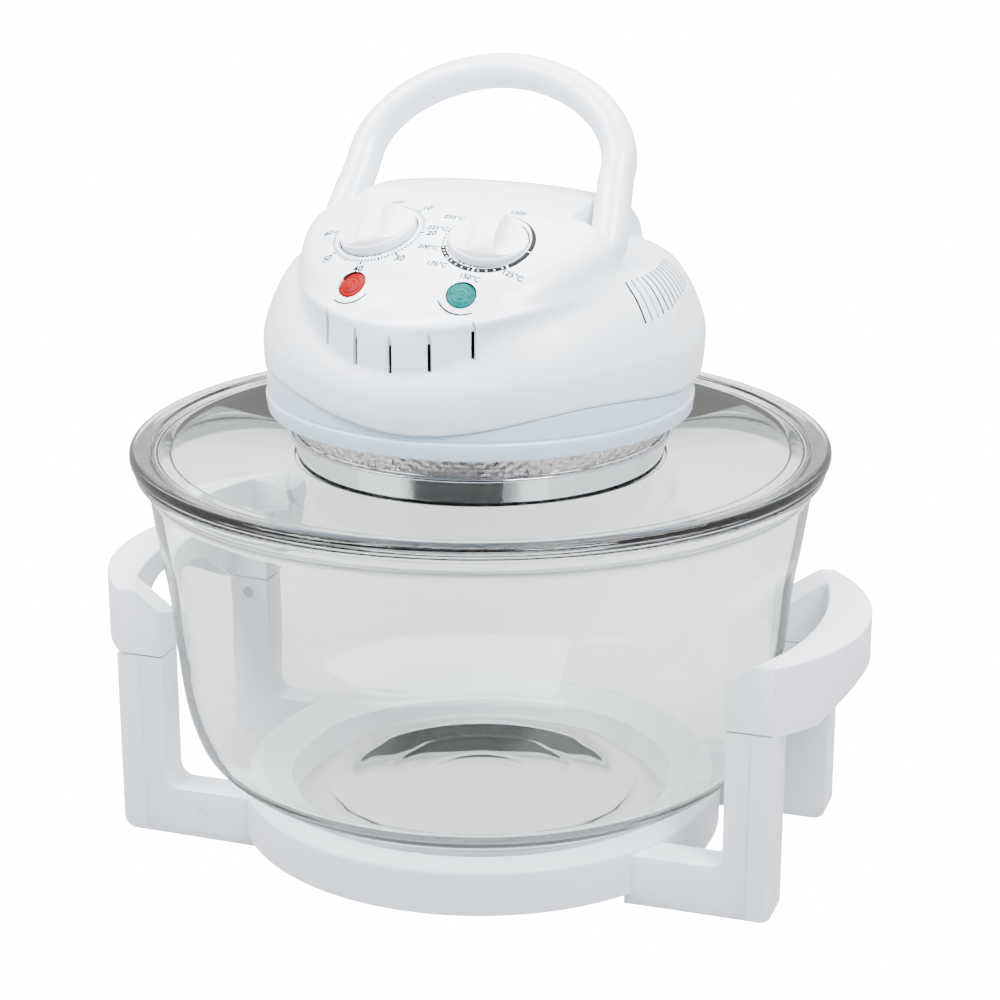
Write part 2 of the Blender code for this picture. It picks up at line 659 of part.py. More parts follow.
def make_base_ring(plastic, parent):
    """Pale ring with the floor that carries the motor; its wall rises to the housing's arched skirt."""
    groove = RING_LOW_Z + RING_GROOVE_RISE
    inner_foot, inner_rim = RING_FOOT_R - RING_WALL, RING_RIM_R - RING_WALL
    profile = (
        (RING_SHAFT_R, FLOOR_Z), (inner_foot, FLOOR_Z), (inner_foot, RING_LOW_Z), (RING_FOOT_R, RING_LOW_Z),
        (RING_WIDE_R, groove - RING_WALL), (RING_WIDE_R, groove - RING_GROOVE_HALF),
        (RING_GROOVE_R, groove), (RING_RIM_R, groove + RING_GROOVE_HALF), (RING_RIM_R, SKIRT_Z),
        (inner_rim, SKIRT_Z), (inner_rim, FLOOR_TOP_Z), (RING_SHAFT_R, FLOOR_TOP_Z),
    )
    ring = turned("base_ring", profile)
    follow_skirt([vertex for vertex in ring.data.vertices if vertex.co.z > SKIRT_Z - GAP], RUN_GAP)
    for x, y in screw_places():
        hole = Matrix.Translation((x, y, 0.0))
        cut(ring, rod("hole", SCREW_R + GAP, FLOOR_Z - OVERRUN, FLOOR_TOP_Z + OVERRUN, TINY_STEPS, hole))
    return finish(ring, plastic, parent)


def screw_places():
    """The four screws stand on a circle, between the front and the sides."""
    turns = [radians(45.0) + i * pi / 2.0 for i in range(4)]
    return [(COLUMN_REACH * cos(turn), COLUMN_REACH * sin(turn)) for turn in turns]


def rib(reaches, powers, heights, lift_power, steps):
    """One closed rib of the head, with its own reach to the front, the side and the back."""
    points = []
    for i in range(steps):
        turn = 2.0 * pi * i / steps
        across, ahead = sin(turn), cos(turn)
        end, weight = (0, abs(ahead) ** lift_power) if ahead > 0.0 else (2, ahead * ahead)
        power = powers[end // 2]
        x = reaches[1] * copysign(abs(across) ** (2.0 / power), across)
        y = -reaches[end] * copysign(abs(ahead) ** (2.0 / power), ahead)
        points.append((x, y, heights[1] + (heights[end] - heights[1]) * weight))
    return points


def head_form(name, form, inset, steps):
    """Skin the ribs of the shoulders or of the crown, drawn in by the inset on every side."""
    shares, top_share, lift_power = form
    lines = []
    for k in range(3):
        line = [(row[k] * HEAD_R, SKIRT_Z + row[5 + k] * HEAD_H) for row in shares]
        line.append((0.0, SKIRT_Z + top_share * HEAD_H))
        lines.append(offset_line(line, inset))
    rings = []
    for i, row in enumerate(shares):
        reaches = [line[i][0] for line in lines]
        heights = [line[i][1] for line in lines]
        rings.append(rib(reaches, row[3:5], heights, lift_power, steps))
    if inset > 0.0:
        rings.insert(0, [(x, y, z - HEAD_WALL - OVERRUN) for x, y, z in rings[0]])
    pole = (0.0, 0.0, SKIRT_Z + top_share * HEAD_H - inset)
    return triangulated(lofted(name, rings, high_pole=pole))


def triangulated(piece):
    """Split a skin's bent four-sided faces, so that cuts meet flat ones."""
    bm = bmesh.new()
    bm.from_mesh(piece.data)
    bmesh.ops.triangulate(bm, faces=bm.faces)
    bm.to_mesh(piece.data)
    bm.free()
    return piece


def handle_recess(side, grow):
    """Room for one limb behind the fascia, beside the raised back; grown by the wall for the inside."""
    inner, front = SPINE_HALF - grow, -(FASCIA_BACK + grow)
    outer, back = HEAD_R + OVERRUN, HEAD_R + OVERRUN
    low = SKIRT_Z + RECESS_FLOOR_share * HEAD_H - grow
    near, far = sorted((side * inner, side * outer))
    return block("recess", (near, front, low), (far, back, SKIRT_Z + HEAD_H + OVERRUN))


def foot_pocket(side, grow):
    """Round pocket in the cheek under the handle's foot."""
    radius = HANDLE_FOOT_R + POCKET_CLEAR + grow
    near = SPINE_HALF + SEAM - grow
    far = PIVOT_SIDE + HANDLE_FOOT_R + POCKET_CLEAR + grow
    return rod("pocket", radius, near, far, CASE_STEPS, along_x(side, PIVOT_FORWARD, PIVOT_Z))


def make_housing(plastic, parent):
    """Moulded head shell: two skinned forms joined, hollowed, then pierced."""
    frames = dial_frames()
    shoulders = (SHOULDER_shares, SHOULDER_TOP_share, SHOULDER_LIFT_POWER)
    raised = (CROWN_shares, CROWN_TOP_share, CROWN_LIFT_POWER)
    shell = head_form("head_housing", shoulders, 0.0, ROUND_STEPS)
    follow_skirt(shell.data.vertices[:ROUND_STEPS], 0.0)
    crown = head_form("crown", raised, 0.0, ROUND_STEPS)
    cut(crown, *[handle_recess(side, 0.0) for side in (-1, 1)])
    join(shell, crown)
    cut(shell, *[foot_pocket(side, 0.0) for side in (-1, 1)])
    boss_face = PIVOT_SIDE - HANDLE_FOOT_R - RUN_GAP
    for side in (-1, 1):
        seat = along_x(side, PIVOT_FORWARD, PIVOT_Z)
        join(shell, rod("boss", PIVOT_BOSS_R, SPINE_HALF - SEAM, boss_face, SMALL_STEPS, seat))
    root = SKIRT_Z + COLUMN_ROOT_share * HEAD_H
    for x, y in screw_places():
        foot = Matrix.Translation((x, y, 0.0))
        join(shell, rod("column", COLUMN_R, FLOOR_TOP_Z + GAP, root, TINY_STEPS, foot))

    cavity = head_form("cavity", shoulders, HEAD_WALL, CAVITY_STEPS)
    inner_crown = head_form("inner_crown", raised, HEAD_WALL, CAVITY_STEPS)
    cut(inner_crown, *[handle_recess(side, HEAD_WALL) for side in (-1, 1)])
    join(cavity, inner_crown)
    cut(cavity, *[foot_pocket(side, HEAD_WALL) for side in (-1, 1)])
    pad_low = -(KNOB_SEAT + DIAL_PAD)
    for frame in frames:
        cut(cavity, rod("pad", KNOB_R + HEAD_WALL, pad_low, OVERRUN, MEDIUM_STEPS, frame))
    column_top = SKIRT_Z + COLUMN_TOP_share * HEAD_H
    for x, y in screw_places():
        foot = Matrix.Translation((x, y, 0.0))
        cut(cavity, rod("column", COLUMN_R, FLOOR_TOP_Z - OVERRUN, column_top, TINY_STEPS, foot))
    cut(shell, cavity)

    for frame in frames:
        cut(shell, rod("seat", KNOB_R + RUN_GAP, -KNOB_SEAT, KNOB_H, MEDIUM_STEPS, frame))
        cut(shell, rod("bore", SPINDLE_R + RUN_GAP, pad_low - OVERRUN, OVERRUN, SMALL_STEPS, frame))
    for frame in lens_frames():
        cut(shell, rod("hole", LENS_R + GAP, -LENS_BODY - OVERRUN, OVERRUN, SMALL_STEPS, frame))
        low = -LENS_SEAT - LENS_FLANGE_H - OVERRUN
        cut(shell, rod("flange_seat", LENS_FLANGE_R + GAP, low, GAP - LENS_SEAT, SMALL_STEPS, frame))
    near = SPINE_HALF - HEAD_WALL - OVERRUN
    for side in (-1, 1):
        seat = along_x(side, PIVOT_FORWARD, PIVOT_Z)
        cut(shell, rod("bore", PIN_R + RUN_GAP, near, PIVOT_SIDE, TINY_STEPS, seat))
    for x, y in screw_places():
        foot = Matrix.Translation((x, y, 0.0))
        high = FLOOR_TOP_Z + SCREW_BITE + GAP
        cut(shell, rod("screw_hole", SCREW_R + GAP, FLOOR_TOP_Z - OVERRUN, high, TINY_STEPS, foot))
    cut(shell, *fascia_slots())
    cut(shell, *cheek_vents())
    back = Matrix.Translation((0.0, 0.0, GLAND_Z)) @ Matrix.Rotation(-pi / 2.0, 4, "X")
    low, high = gland_span()
    cut(shell, rod("gland_hole", GLAND_R + GAP, low - OVERRUN, high + OVERRUN, SMALL_STEPS, back))
    return finish(shell, plastic, parent)


def fascia_slots():
    """Five upright slots round the nose, each with a pointed upper end."""
    cutters = []
    nose = SLOT_NOSE_share * HEAD_R
    for share in SLOT_PLACE_shares:
        side = share * HEAD_R
        turn = asin(side / nose)
        drop = nose * (1.0 - cos(turn))
        low = SKIRT_Z + SLOT_LOW_share * HEAD_H + SLOT_RISE_share * drop
        half = SLOT_W / 2.0
        shoulder = low + SLOT_H - SLOT_W * SLOT_POINT_share
        outline = ((-half, low), (half, low), (half, shoulder), (0.0, low + SLOT_H),
                   (-half, shoulder))
        stand = Matrix.Rotation(pi / 2.0, 4, "X")
        place = Matrix.Translation((side, -(HEAD_R - drop), 0.0)) @ Matrix.Rotation(turn, 4, "Z")
        cutters.append(prism("slot", outline, -SLOT_DEPTH, OVERRUN, place @ stand))
    return cutters


def between(pair, part):
    """A value part of the way from the first of a pair to the second."""
    return pair[0] + (pair[1] - pair[0]) * part


def cheek_vents():
    """A fan of narrow slots on each cheek, shorter towards the back."""
    cutters = []
    wide = VENT_W / 2.0
    for side in (-1, 1):
        for i in range(VENT_COUNT):
            part = i / (VENT_COUNT - 1)
            half = between(VENT_LENGTHS, part) / 2.0
            height = SKIRT_Z + between(VENT_HEIGHT_shares, part) * HEAD_H
            place = Matrix.Rotation(side * between(VENT_TURNS, part), 4, "Z")
            lift = Matrix.Translation((0.0, -VENT_REACH_share * HEAD_R, height))
            frame = place @ lift @ Matrix.Rotation(-between(VENT_TILTS, part), 4, "X")
            cutters.append(block("vent", (-wide, -VENT_DEPTH, -half), (wide, VENT_DEPTH, half), frame))
    return cutters


def dial_frames():
    """The timer's frame on the left and the thermostat's on the right."""
    return [
        panel_frame(side, DIAL_SIDE_share, DIAL_FORWARD_share, DIAL_TILT, DIAL_AZIMUTH)
        for side in (-1, 1)
    ]


def lens_frames():
    return [
        panel_frame(side, LENS_SIDE_share, LENS_FORWARD_share, LENS_TILT, LENS_AZIMUTH)
        for side in (-1, 1)
    ]


def dial_axis(name, frame, parent):
    """An empty on a dial's axis, for the pieces that turn on it."""
    axis = bpy.data.objects.new(name, None)
    bpy.context.scene.collection.objects.link(axis)
    axis.parent = parent
    axis.matrix_local = frame
    axis.empty_display_size = KNOB_R
    return axis


def make_knob(name, plastic, axis):
    """A low dome with a sloping flat on either side, which leaves an arched grip across its middle."""
    low = GAP - KNOB_SEAT
    profile = [(0.0, low), (KNOB_R, low), (KNOB_R, KNOB_RIM_H)]
    for i in range(1, DOME_STEPS):
        turn = i / DOME_STEPS * pi / 2.0
        rise = (KNOB_H - KNOB_RIM_H) * sin(turn) ** KNOB_DOME_POWER
        profile.append((KNOB_R * cos(turn), KNOB_RIM_H + rise))
    profile.append((0.0, KNOB_H))
    knob = turned(name, profile, MEDIUM_STEPS)
    far, over = KNOB_R + OVERRUN, KNOB_H + OVERRUN
    flat = [(KNOB_R * side, KNOB_H * height) for side, height in KNOB_FLAT_shares]
    flat = [(flat[0][0], over)] + flat + [(far, flat[-1][1]), (far, over)]
    for side in (-1, 1):
        rings = [[(side * x, y, z) for x, z in flat] for y in (-far, far)]
        cut(knob, lofted("flat", rings))
    cut(knob, rod("bore", SPINDLE_R + GAP, low - OVERRUN, low + SPINDLE_IN_KNOB + GAP, SMALL_STEPS))
    placed(knob, Matrix.Rotation(DIAL_OFF_TURN, 4, "Z"))
    return finish(knob, plastic, axis)


def make_spindle(name, steel, axis):
    """Shaft from the works under the panel up into the knob."""
    high = GAP - KNOB_SEAT + SPINDLE_IN_KNOB
    low = works_top() - SPINDLE_IN_BODY
    return finish(rod(name, SPINDLE_R, low, high, SMALL_STEPS), steel, axis)


def works_top():
    """Face of the timer or the thermostat, under the pad of its dial."""
    return -(KNOB_SEAT + DIAL_PAD + GAP)


def works_bore():
    top = works_top()
    return rod("bore", SPINDLE_R + RUN_GAP, top - SPINDLE_IN_BODY - GAP, top + OVERRUN, SMALL_STEPS)


def make_timer(metal, axis):
    """Clockwork timer in its round case, with a narrower foot."""
    top = works_top()
    foot_r = TIMER_R * TIMER_FOOT_share
    first, second = [top - TIMER_DEPTH * share for share in TIMER_STEP_shares]
    profile = (
        (0.0, top), (TIMER_R, top), (TIMER_R, first), (foot_r, second), (foot_r, top - TIMER_DEPTH),
        (0.0, top - TIMER_DEPTH),
    )
    case = cut(turned("timer_body", profile[::-1], CASE_STEPS), works_bore())
    return finish(case, metal, axis)


def make_thermostat(plastic, axis):
    """Thermostat block with two flat terminals on its foot."""
    top = works_top()
    half_w, half_l = THERMOSTAT_W / 2.0, THERMOSTAT_L / 2.0
    low = top - THERMOSTAT_DEPTH
    case = block("thermostat_body", (-half_w, -half_l, low), (half_w, half_l, top))
    for side in (-1, 1):
        x = side * half_w / 2.0
        foot, root = (x - BLADE_SHEET, -TAB_W / 2.0, low - TAB_L), (x + BLADE_SHEET, TAB_W / 2.0, low + SEAM)
        join(case, block("tab", foot, root))
    return finish(cut(case, works_bore()), plastic, axis)


def arc_of_dome(radius, rise):
    """Quarter ellipse from the rim of a dome to its top, both ends left out."""
    turns = [pi / 2.0 * i / LENS_STEPS for i in range(1, LENS_STEPS)]
    return [(radius * cos(turn), rise * sin(turn)) for turn in turns]


def make_lens(name, clear, frame, parent):
    """Domed indicator lens with a flange behind the panel."""
    under = -LENS_SEAT - LENS_FLANGE_H
    profile = [(0.0, -LENS_BODY), (LENS_R - GAP, -LENS_BODY), (LENS_R - GAP, under)]
    profile += [(LENS_FLANGE_R, under), (LENS_FLANGE_R, -LENS_SEAT), (LENS_R, -LENS_SEAT), (LENS_R, 0.0)]
    profile += arc_of_dome(LENS_R, LENS_DOME)
    profile.append((0.0, LENS_DOME))
    lens = turned(name, profile, SMALL_STEPS, frame)
    bore = rod("bore", PILOT_R + GAP, -LENS_BODY - OVERRUN, -LENS_SEAT, TINY_STEPS, frame)
    return finish(cut(lens, bore), clear, parent)


def make_pilots(glass, parent):
    """The two small lamps behind the lenses."""
    for name, frame in zip(("indicator_lamp_left", "indicator_lamp_right"), lens_frames()):
        high = -LENS_SEAT - GAP
        finish(rod(name, PILOT_R, high - PILOT_L, high, TINY_STEPS, frame), glass, parent)


def handle_line(steps_limb, steps_arch):
    """Centre line of the handle in its own plane: side place and height over the pivots."""
    half = []
    for i in range(steps_limb):
        part = i / steps_limb
        lean_in = (3.0 - 2.0 * part) * part * part
        half.append((PIVOT_SIDE + (LIMB_SIDE - PIVOT_SIDE) * lean_in, LIMB_H * part))
    for i in range(steps_arch + 1):
        turn = pi / 2.0 * i / steps_arch
        side = LIMB_SIDE * cos(turn) ** (2.0 / ARCH_POWER) if i < steps_arch else 0.0
        half.append((side, LIMB_H + (ARCH_H - LIMB_H) * sin(turn) ** (2.0 / ARCH_POWER)))
    return half + [(-side, height) for side, height in half[-2::-1]]


def handle_frame():
    """The handle's plane: X along the pivots, Z up along its lean."""
    return Matrix.Translation((0.0, -PIVOT_FORWARD, PIVOT_Z)) @ Matrix.Rotation(-HANDLE_LEAN, 4, "X")


def make_handle(plastic, axis):
    """Arched handle: a round section swept along the line, thicker at its feet, with ball ends."""
    line = handle_line(LIMB_STEPS, ARCH_STEPS)
    sides = HANDLE_SIDES
    rings = []
    for i, (x, z) in enumerate(line):
        before, after = line[max(i - 1, 0)], line[min(i + 1, len(line) - 1)]
        run, rise = after[0] - before[0], after[1] - before[1]
        length = sqrt(run * run + rise * rise)
        along = (run / length, rise / length)
        foot = max(0.0, 1.0 - z / LIMB_H)
        radius = HANDLE_R + (HANDLE_FOOT_R - HANDLE_R) * foot
        rings.append(((x, z), along, radius))
    first, last = rings[0], rings[-1]
    for part in HANDLE_CAP_shares:
        for end, sign, slot in ((first, -1.0, 0), (last, 1.0, len(rings))):
            (x, z), along, radius = end
            shift = sign * radius * part
            ring = ((x + along[0] * shift, z + along[1] * shift), along, radius * sqrt(1.0 - part * part))
            rings.insert(slot if sign < 0.0 else len(rings), ring)
    circles = []
    for (x, z), along, radius in rings:
        circle = []
        for k in range(sides):
            turn = 2.0 * pi * k / sides
            across = radius * cos(turn)
            circle.append((x - along[1] * across, radius * sin(turn), z + along[0] * across))
        circles.append(circle)
    handle = lofted("carry_handle", circles)
    for side in (-1, 1):
        seat = Matrix.Rotation(side * pi / 2.0, 4, "Y")
        near = PIVOT_SIDE - HANDLE_FOOT_R - OVERRUN
        far = PIVOT_SIDE - HANDLE_FOOT_R + PIN_IN_LIMB + GAP
        cut(handle, rod("bore", PIN_R + GAP, near, far, TINY_STEPS, seat))
    return finish(handle, plastic, axis)


def make_pins(steel, axis):
    """Headed pivot pins from inside the raised back into the handle's feet."""
    head_face = SPINE_HALF - HEAD_WALL - RUN_GAP
    for name, side in (("handle_pin_left", -1), ("handle_pin_right", 1)):
        seat = Matrix.Rotation(side * pi / 2.0, 4, "Y")
        profile = (
            (0.0, head_face - PIN_HEAD_H), (PIN_HEAD_R, head_face - PIN_HEAD_H), (PIN_HEAD_R, head_face),
            (PIN_R, head_face), (PIN_R, PIVOT_SIDE - HANDLE_FOOT_R + PIN_IN_LIMB),
            (0.0, PIVOT_SIDE - HANDLE_FOOT_R + PIN_IN_LIMB),
        )
        finish(turned(name, profile, TINY_STEPS, seat), steel, axis)


def make_base_screws(steel, parent):
    """Four screws up through the ring's floor into the housing's columns."""
    low = FLOOR_Z - GAP
    for number, (x, y) in enumerate(screw_places(), 1):
        profile = (
            (0.0, low - SCREW_HEAD_H), (SCREW_HEAD_R, low - SCREW_HEAD_H), (SCREW_HEAD_R, low),
            (SCREW_R, low), (SCREW_R, FLOOR_TOP_Z + SCREW_BITE), (0.0, FLOOR_TOP_Z + SCREW_BITE),
        )
        place = Matrix.Translation((x, y, 0.0))
        finish(turned(f"base_screw_{number}", profile, TINY_STEPS, place), steel, parent)


def gland_span():
    """Innermost and outermost reach of the back wall beside the gland's flanges."""
    line = [(row[2] * HEAD_R, SKIRT_Z + row[7] * HEAD_H) for row in SHOULDER_shares]
    wide = GLAND_R + GLAND_FLANGE
    reaches = [radius_at(line, GLAND_Z + shift) for shift in (-wide, 0.0, wide)]
    return min(reaches) - HEAD_WALL, max(reaches)


def make_gland(rubber, parent):
    """Bush for the power cord in the back wall, with a flange on either side."""
    inner, outer = gland_span()
    wide = GLAND_R + GLAND_FLANGE
    low, high = inner - RUN_GAP - wide * tan(pi / MEDIUM_STEPS), outer + RUN_GAP
    profile = (
        (GLAND_BORE_R, low - GLAND_FLANGE_H), (wide, low - GLAND_FLANGE_H), (wide, low), (GLAND_R, low),
        (GLAND_R, high), (wide, high), (GLAND_R, high + GLAND_NOSE_H), (GLAND_BORE_R, high + GLAND_NOSE_H),
    )
    back = Matrix.Translation((0.0, 0.0, GLAND_Z)) @ Matrix.Rotation(-pi / 2.0, 4, "X")
    return finish(turned("cord_gland", profile, SMALL_STEPS, back), rubber, parent)


def make_lamp(quartz, parent):
    """Ring lamp: one open turn of tube whose ends stand up to their holders."""
    z = REFLECTOR_TOP_Z - REFLECTOR_SHEET - LAMP_DROP
    end_z = holder_low() - GAP
    start = pi / 2.0 + LAMP_OPEN / 2.0
    sweep = 2.0 * pi - LAMP_OPEN
    sides = TINY_STEPS
    rings = []
    for i in range(LAMP_STEPS + 1):
        turn = start + sweep * i / LAMP_STEPS
        out = Vector((cos(turn), sin(turn), 0.0))
        centre = out * LAMP_RING_R + Vector((0.0, 0.0, z))
        rings.append(tube_ring(centre, out, Vector((0.0, 0.0, 1.0)), LAMP_TUBE_R, sides))
    for slot, turn, sign in ((0, start, -1.0), (1, start + sweep, 1.0)):
        out = Vector((cos(turn), sin(turn), 0.0))
        ahead = Vector((-sin(turn), cos(turn), 0.0)) * sign
        foot = out * LAMP_RING_R + Vector((0.0, 0.0, z)) + ahead * LAMP_TUBE_R
        mitre = (ahead * -1.0 + Vector((0.0, 0.0, 1.0))).normalized() * sqrt(2.0)
        knee = tube_ring(foot, out, mitre, LAMP_TUBE_R, sides)
        top = Vector((foot.x, foot.y, end_z))
        end = tube_ring(top, out, ahead * -1.0, LAMP_TUBE_R, sides)
        rings = [end, knee] + rings if slot == 0 else rings + [knee, end]
    return finish(lofted("halogen_lamp", rings), quartz, parent)


def tube_ring(centre, first, second, radius, sides):
    """One ring of a tube, spanned by two directions."""
    ring = []
    for k in range(sides):
        turn = 2.0 * pi * k / sides
        ring.append(tuple(centre + first * (radius * cos(turn)) + second * (radius * sin(turn))))
    return ring


def holder_low():
    return REFLECTOR_TOP_Z - REFLECTOR_SHEET - GAP - HOLDER_H


def make_holders(ceramic, parent):
    """Two ceramic blocks that hold the lamp's ends under the reflector."""
    for name, sign in (("lamp_holder_right", -1.0), ("lamp_holder_left", 1.0)):
        turn = pi / 2.0 + sign * LAMP_OPEN / 2.0
        shift = Vector((-sin(turn), cos(turn), 0.0)) * (-sign * LAMP_TUBE_R)
        place = Vector((cos(turn), sin(turn), 0.0)) * LAMP_RING_R + shift
        frame = Matrix.Translation(place) @ Matrix.Rotation(turn - pi / 2.0, 4, "Z")
        low, high = holder_low(), REFLECTOR_TOP_Z - REFLECTOR_SHEET - GAP
        half_w, half_l = HOLDER_W / 2.0, HOLDER_L / 2.0
        finish(block(name, (-half_w, -half_l, low), (half_w, half_l, high), frame), ceramic, parent)


def make_guard(wire, parent):
    """Round guard under the lamp: rings and spokes of flat bar on the collar's lip."""
    low = COLLAR_FOOT_Z + COLLAR_SHEET + GAP
    high = low + GUARD_BAR
    outer = COLLAR_FOOT_R - COLLAR_SHEET - RUN_GAP
    guard = band("guard_grille", outer, GUARD_RIM_W, low, high)
    step = (outer - GUARD_HUB_R) / (GUARD_RINGS + 1)
    for i in range(GUARD_RINGS):
        join(guard, *spokes_between(guard, i, step, low, high))
        join(guard, band("ring", GUARD_HUB_R + step * (i + 1), GUARD_RING_W, low, high))
    join(guard, *spokes_between(guard, GUARD_RINGS, step, low, high))
    join(guard, rod("hub", GUARD_HUB_R, low, high))
    return finish(guard, wire, parent)


def spokes_between(guard, index, step, low, high):
    """Spokes from one ring of the guard to the next; they stand in line through all rings."""
    spokes = []
    half = GUARD_BAR / 2.0
    for k in range(GUARD_SPOKES):
        turn = Matrix.Rotation(2.0 * pi * k / GUARD_SPOKES + GUARD_TURN, 4, "Z")
        near = (GUARD_HUB_R + step * index - GUARD_BAR, -half, low + GUARD_SPOKE_INSET)
        far = (GUARD_HUB_R + step * (index + 1) - half, half, high - GUARD_SPOKE_INSET)
        spokes.append(block("spoke", near, far, turn))
    return spokes


def band(name, outer, width, low, high):
    """A flat ring."""
    profile = ((outer - width, low), (outer, low), (outer, high), (outer - width, high))
    return turned(name, profile, MEDIUM_STEPS)


def make_motor(metal, parent):
    """Round motor on the floor, with a raised bearing end."""
    bore = SHAFT_R + RUN_GAP
    profile = (
        (bore, MOTOR_Z), (MOTOR_R, MOTOR_Z), (MOTOR_R, MOTOR_Z + MOTOR_H), (MOTOR_END_R, MOTOR_Z + MOTOR_H),
        (MOTOR_END_R, MOTOR_TOP_Z), (bore, MOTOR_TOP_Z),
    )
    return finish(turned("motor", profile, CASE_STEPS), metal, parent)


def make_shaft(steel, parent):
    return finish(rod("motor_shaft", SHAFT_R, SHAFT_LOW_Z, SHAFT_TOP_Z, SMALL_STEPS), steel, parent)


def make_fan(name, metal, parent, radius, low, height, lean):
    """Hub with flat blades, each turned on its own radius."""
    hub = rod(name, HUB_R, low, low + height, SMALL_STEPS)
    half = BLADE_SHEET / 2.0
    for k in range(FAN_BLADES):
        spin = Matrix.Rotation(2.0 * pi * k / FAN_BLADES, 4, "Z")
        pitch = Matrix.Translation((0.0, 0.0, low + height / 2.0)) @ Matrix.Rotation(lean, 4, "X")
        width = (height / 2.0 - half) / sin(abs(lean)) * BLADE_WIDTH_share
        outline = [(HUB_R - SEAM, -width * BLADE_ROOT_share)]
        outline += [(radius * reach, width * side) for reach, side in BLADE_shares]
        outline.append((HUB_R - SEAM, width * BLADE_ROOT_share))
        join(hub, prism("blade", outline, -half, half, spin @ pitch))
    bore = rod("bore", SHAFT_R + GAP, low - OVERRUN, low + height + OVERRUN, SMALL_STEPS)
    return finish(cut(hub, bore), metal, parent)


def make_terminal(plastic, parent):
    """Terminal block on the floor at the back, with its wire ways."""
    half = [size / 2.0 for size in TERMINAL_SIZE]
    z = FLOOR_TOP_Z + GAP
    piece = block("terminal_block", (-half[0], TERMINAL_BACK - half[1], z),
                  (half[0], TERMINAL_BACK + half[1], z + TERMINAL_SIZE[2]))
    pitch = TERMINAL_SIZE[0] / TERMINAL_WAYS
    far = half[1] + OVERRUN
    for i in range(TERMINAL_WAYS):
        x = -half[0] + pitch * (i + 0.5)
        way = Matrix.Translation((x, TERMINAL_BACK, z + half[2])) @ Matrix.Rotation(pi / 2.0, 4, "X")
        cut(piece, rod("way", pitch * TERMINAL_WAY_share, -far, far, TINY_STEPS, way))
    return finish(piece, plastic, parent)


def make_cutout(metal, parent):
    """Round thermal cut-out on the floor."""
    z = FLOOR_TOP_Z + GAP
    place = Matrix.Translation((-CUTOUT_SIDE, 0.0, 0.0))
    cap_r, step = CUTOUT_R * CUTOUT_CAP_shares[0], z + CUTOUT_H * CUTOUT_CAP_shares[1]
    profile = (
        (0.0, z), (CUTOUT_R, z), (CUTOUT_R, step), (cap_r, step), (cap_r, z + CUTOUT_H), (0.0, z + CUTOUT_H),
    )
    return finish(turned("thermal_cutout", profile, SMALL_STEPS, place), metal, parent)


def make_switch(plastic, parent):
    """Safety switch on the inside of the raised back, under the right pivot."""
    right = SPINE_HALF - HEAD_WALL - GAP
    high = PIVOT_Z - PIN_HEAD_R - RUN_GAP
    low = (right - SWITCH_SIZE[0], -PIVOT_FORWARD - SWITCH_SIZE[1] / 2.0, high - SWITCH_SIZE[2])
    return finish(block("safety_switch", low, (right, low[1] + SWITCH_SIZE[1], high)), plastic, parent)


def bowl_clearance():
    """Space of the bowl, snug at its seat and looser beside the legs, with the lead-in cone over it."""
    snug = offset_line(bowl_outer(), -GAP)
    loose = offset_line(bowl_outer(), -BOWL_SIDE_GAP)
    cone_low_z = cone_start(loose)
    seat_end_z = SEAT_RING_TOP_Z + BAR_FILLET_R
    wall = [point for point in snug if point[1] < seat_end_z]
    wall += [point for point in loose if seat_end_z < point[1] < cone_low_z]
    profile = [(0.0, BOWL_BASE_Z - GAP)] + wall + [(radius_at(loose, cone_low_z), cone_low_z)]
    profile.append((GRIP_INNER_R + OVERRUN * GRIP_CONE_SLOPE, GRIP_TOP_Z + OVERRUN))
    profile.append((0.0, GRIP_TOP_Z + OVERRUN))
    return turned("clearance", profile)


def cone_start(line):
    """Height at which the lead-in cone leaves the bowl's outline, found by halving."""
    low, high = SEAT_RING_TOP_Z, GRIP_TOP_Z
    for _ in range(HALVINGS):
        middle = (low + high) / 2.0
        if GRIP_INNER_R - (GRIP_TOP_Z - middle) * GRIP_CONE_SLOPE > radius_at(line, middle):
            high = middle
        else:
            low = middle
    return high


def leg_outline(inset, low_bar, low_leg, top, start):
    """L of one bar and leg seen from the front, drawn in by an inset."""
    left, right = LEG_IN_X + inset, LEG_OUT_X - inset
    bar = BAR_H - inset
    fillet = BAR_FILLET_R + inset
    corner = max(LEG_CORNER_R - inset, GAP)
    outline = [(start, low_bar)]
    if inset > 0.0:
        outline += [(left, low_bar), (left, low_leg)]
    outline += arc((right - corner, low_leg + corner), corner, -pi / 2.0, 0.0, CORNER_STEPS)
    outline += [(right, top), (left, top)]
    outline += arc((left - fillet, bar + fillet), fillet, 0.0, -pi / 2.0, FILLET_STEPS)
    outline.append((start, bar))
    return outline


def leg_corners():
    """The four corners of the stand as signs across and in depth."""
    return [(side_x, side_y) for side_x in (-1, 1) for side_y in (-1, 1)]


def upright(outline, near, far, corner, name):
    """Extrude a front outline in depth and put it in one quarter of the stand."""
    rings = [[(corner[0] * x, corner[1] * y, z) for x, z in outline] for y in (near, far)]
    return lofted(name, rings)


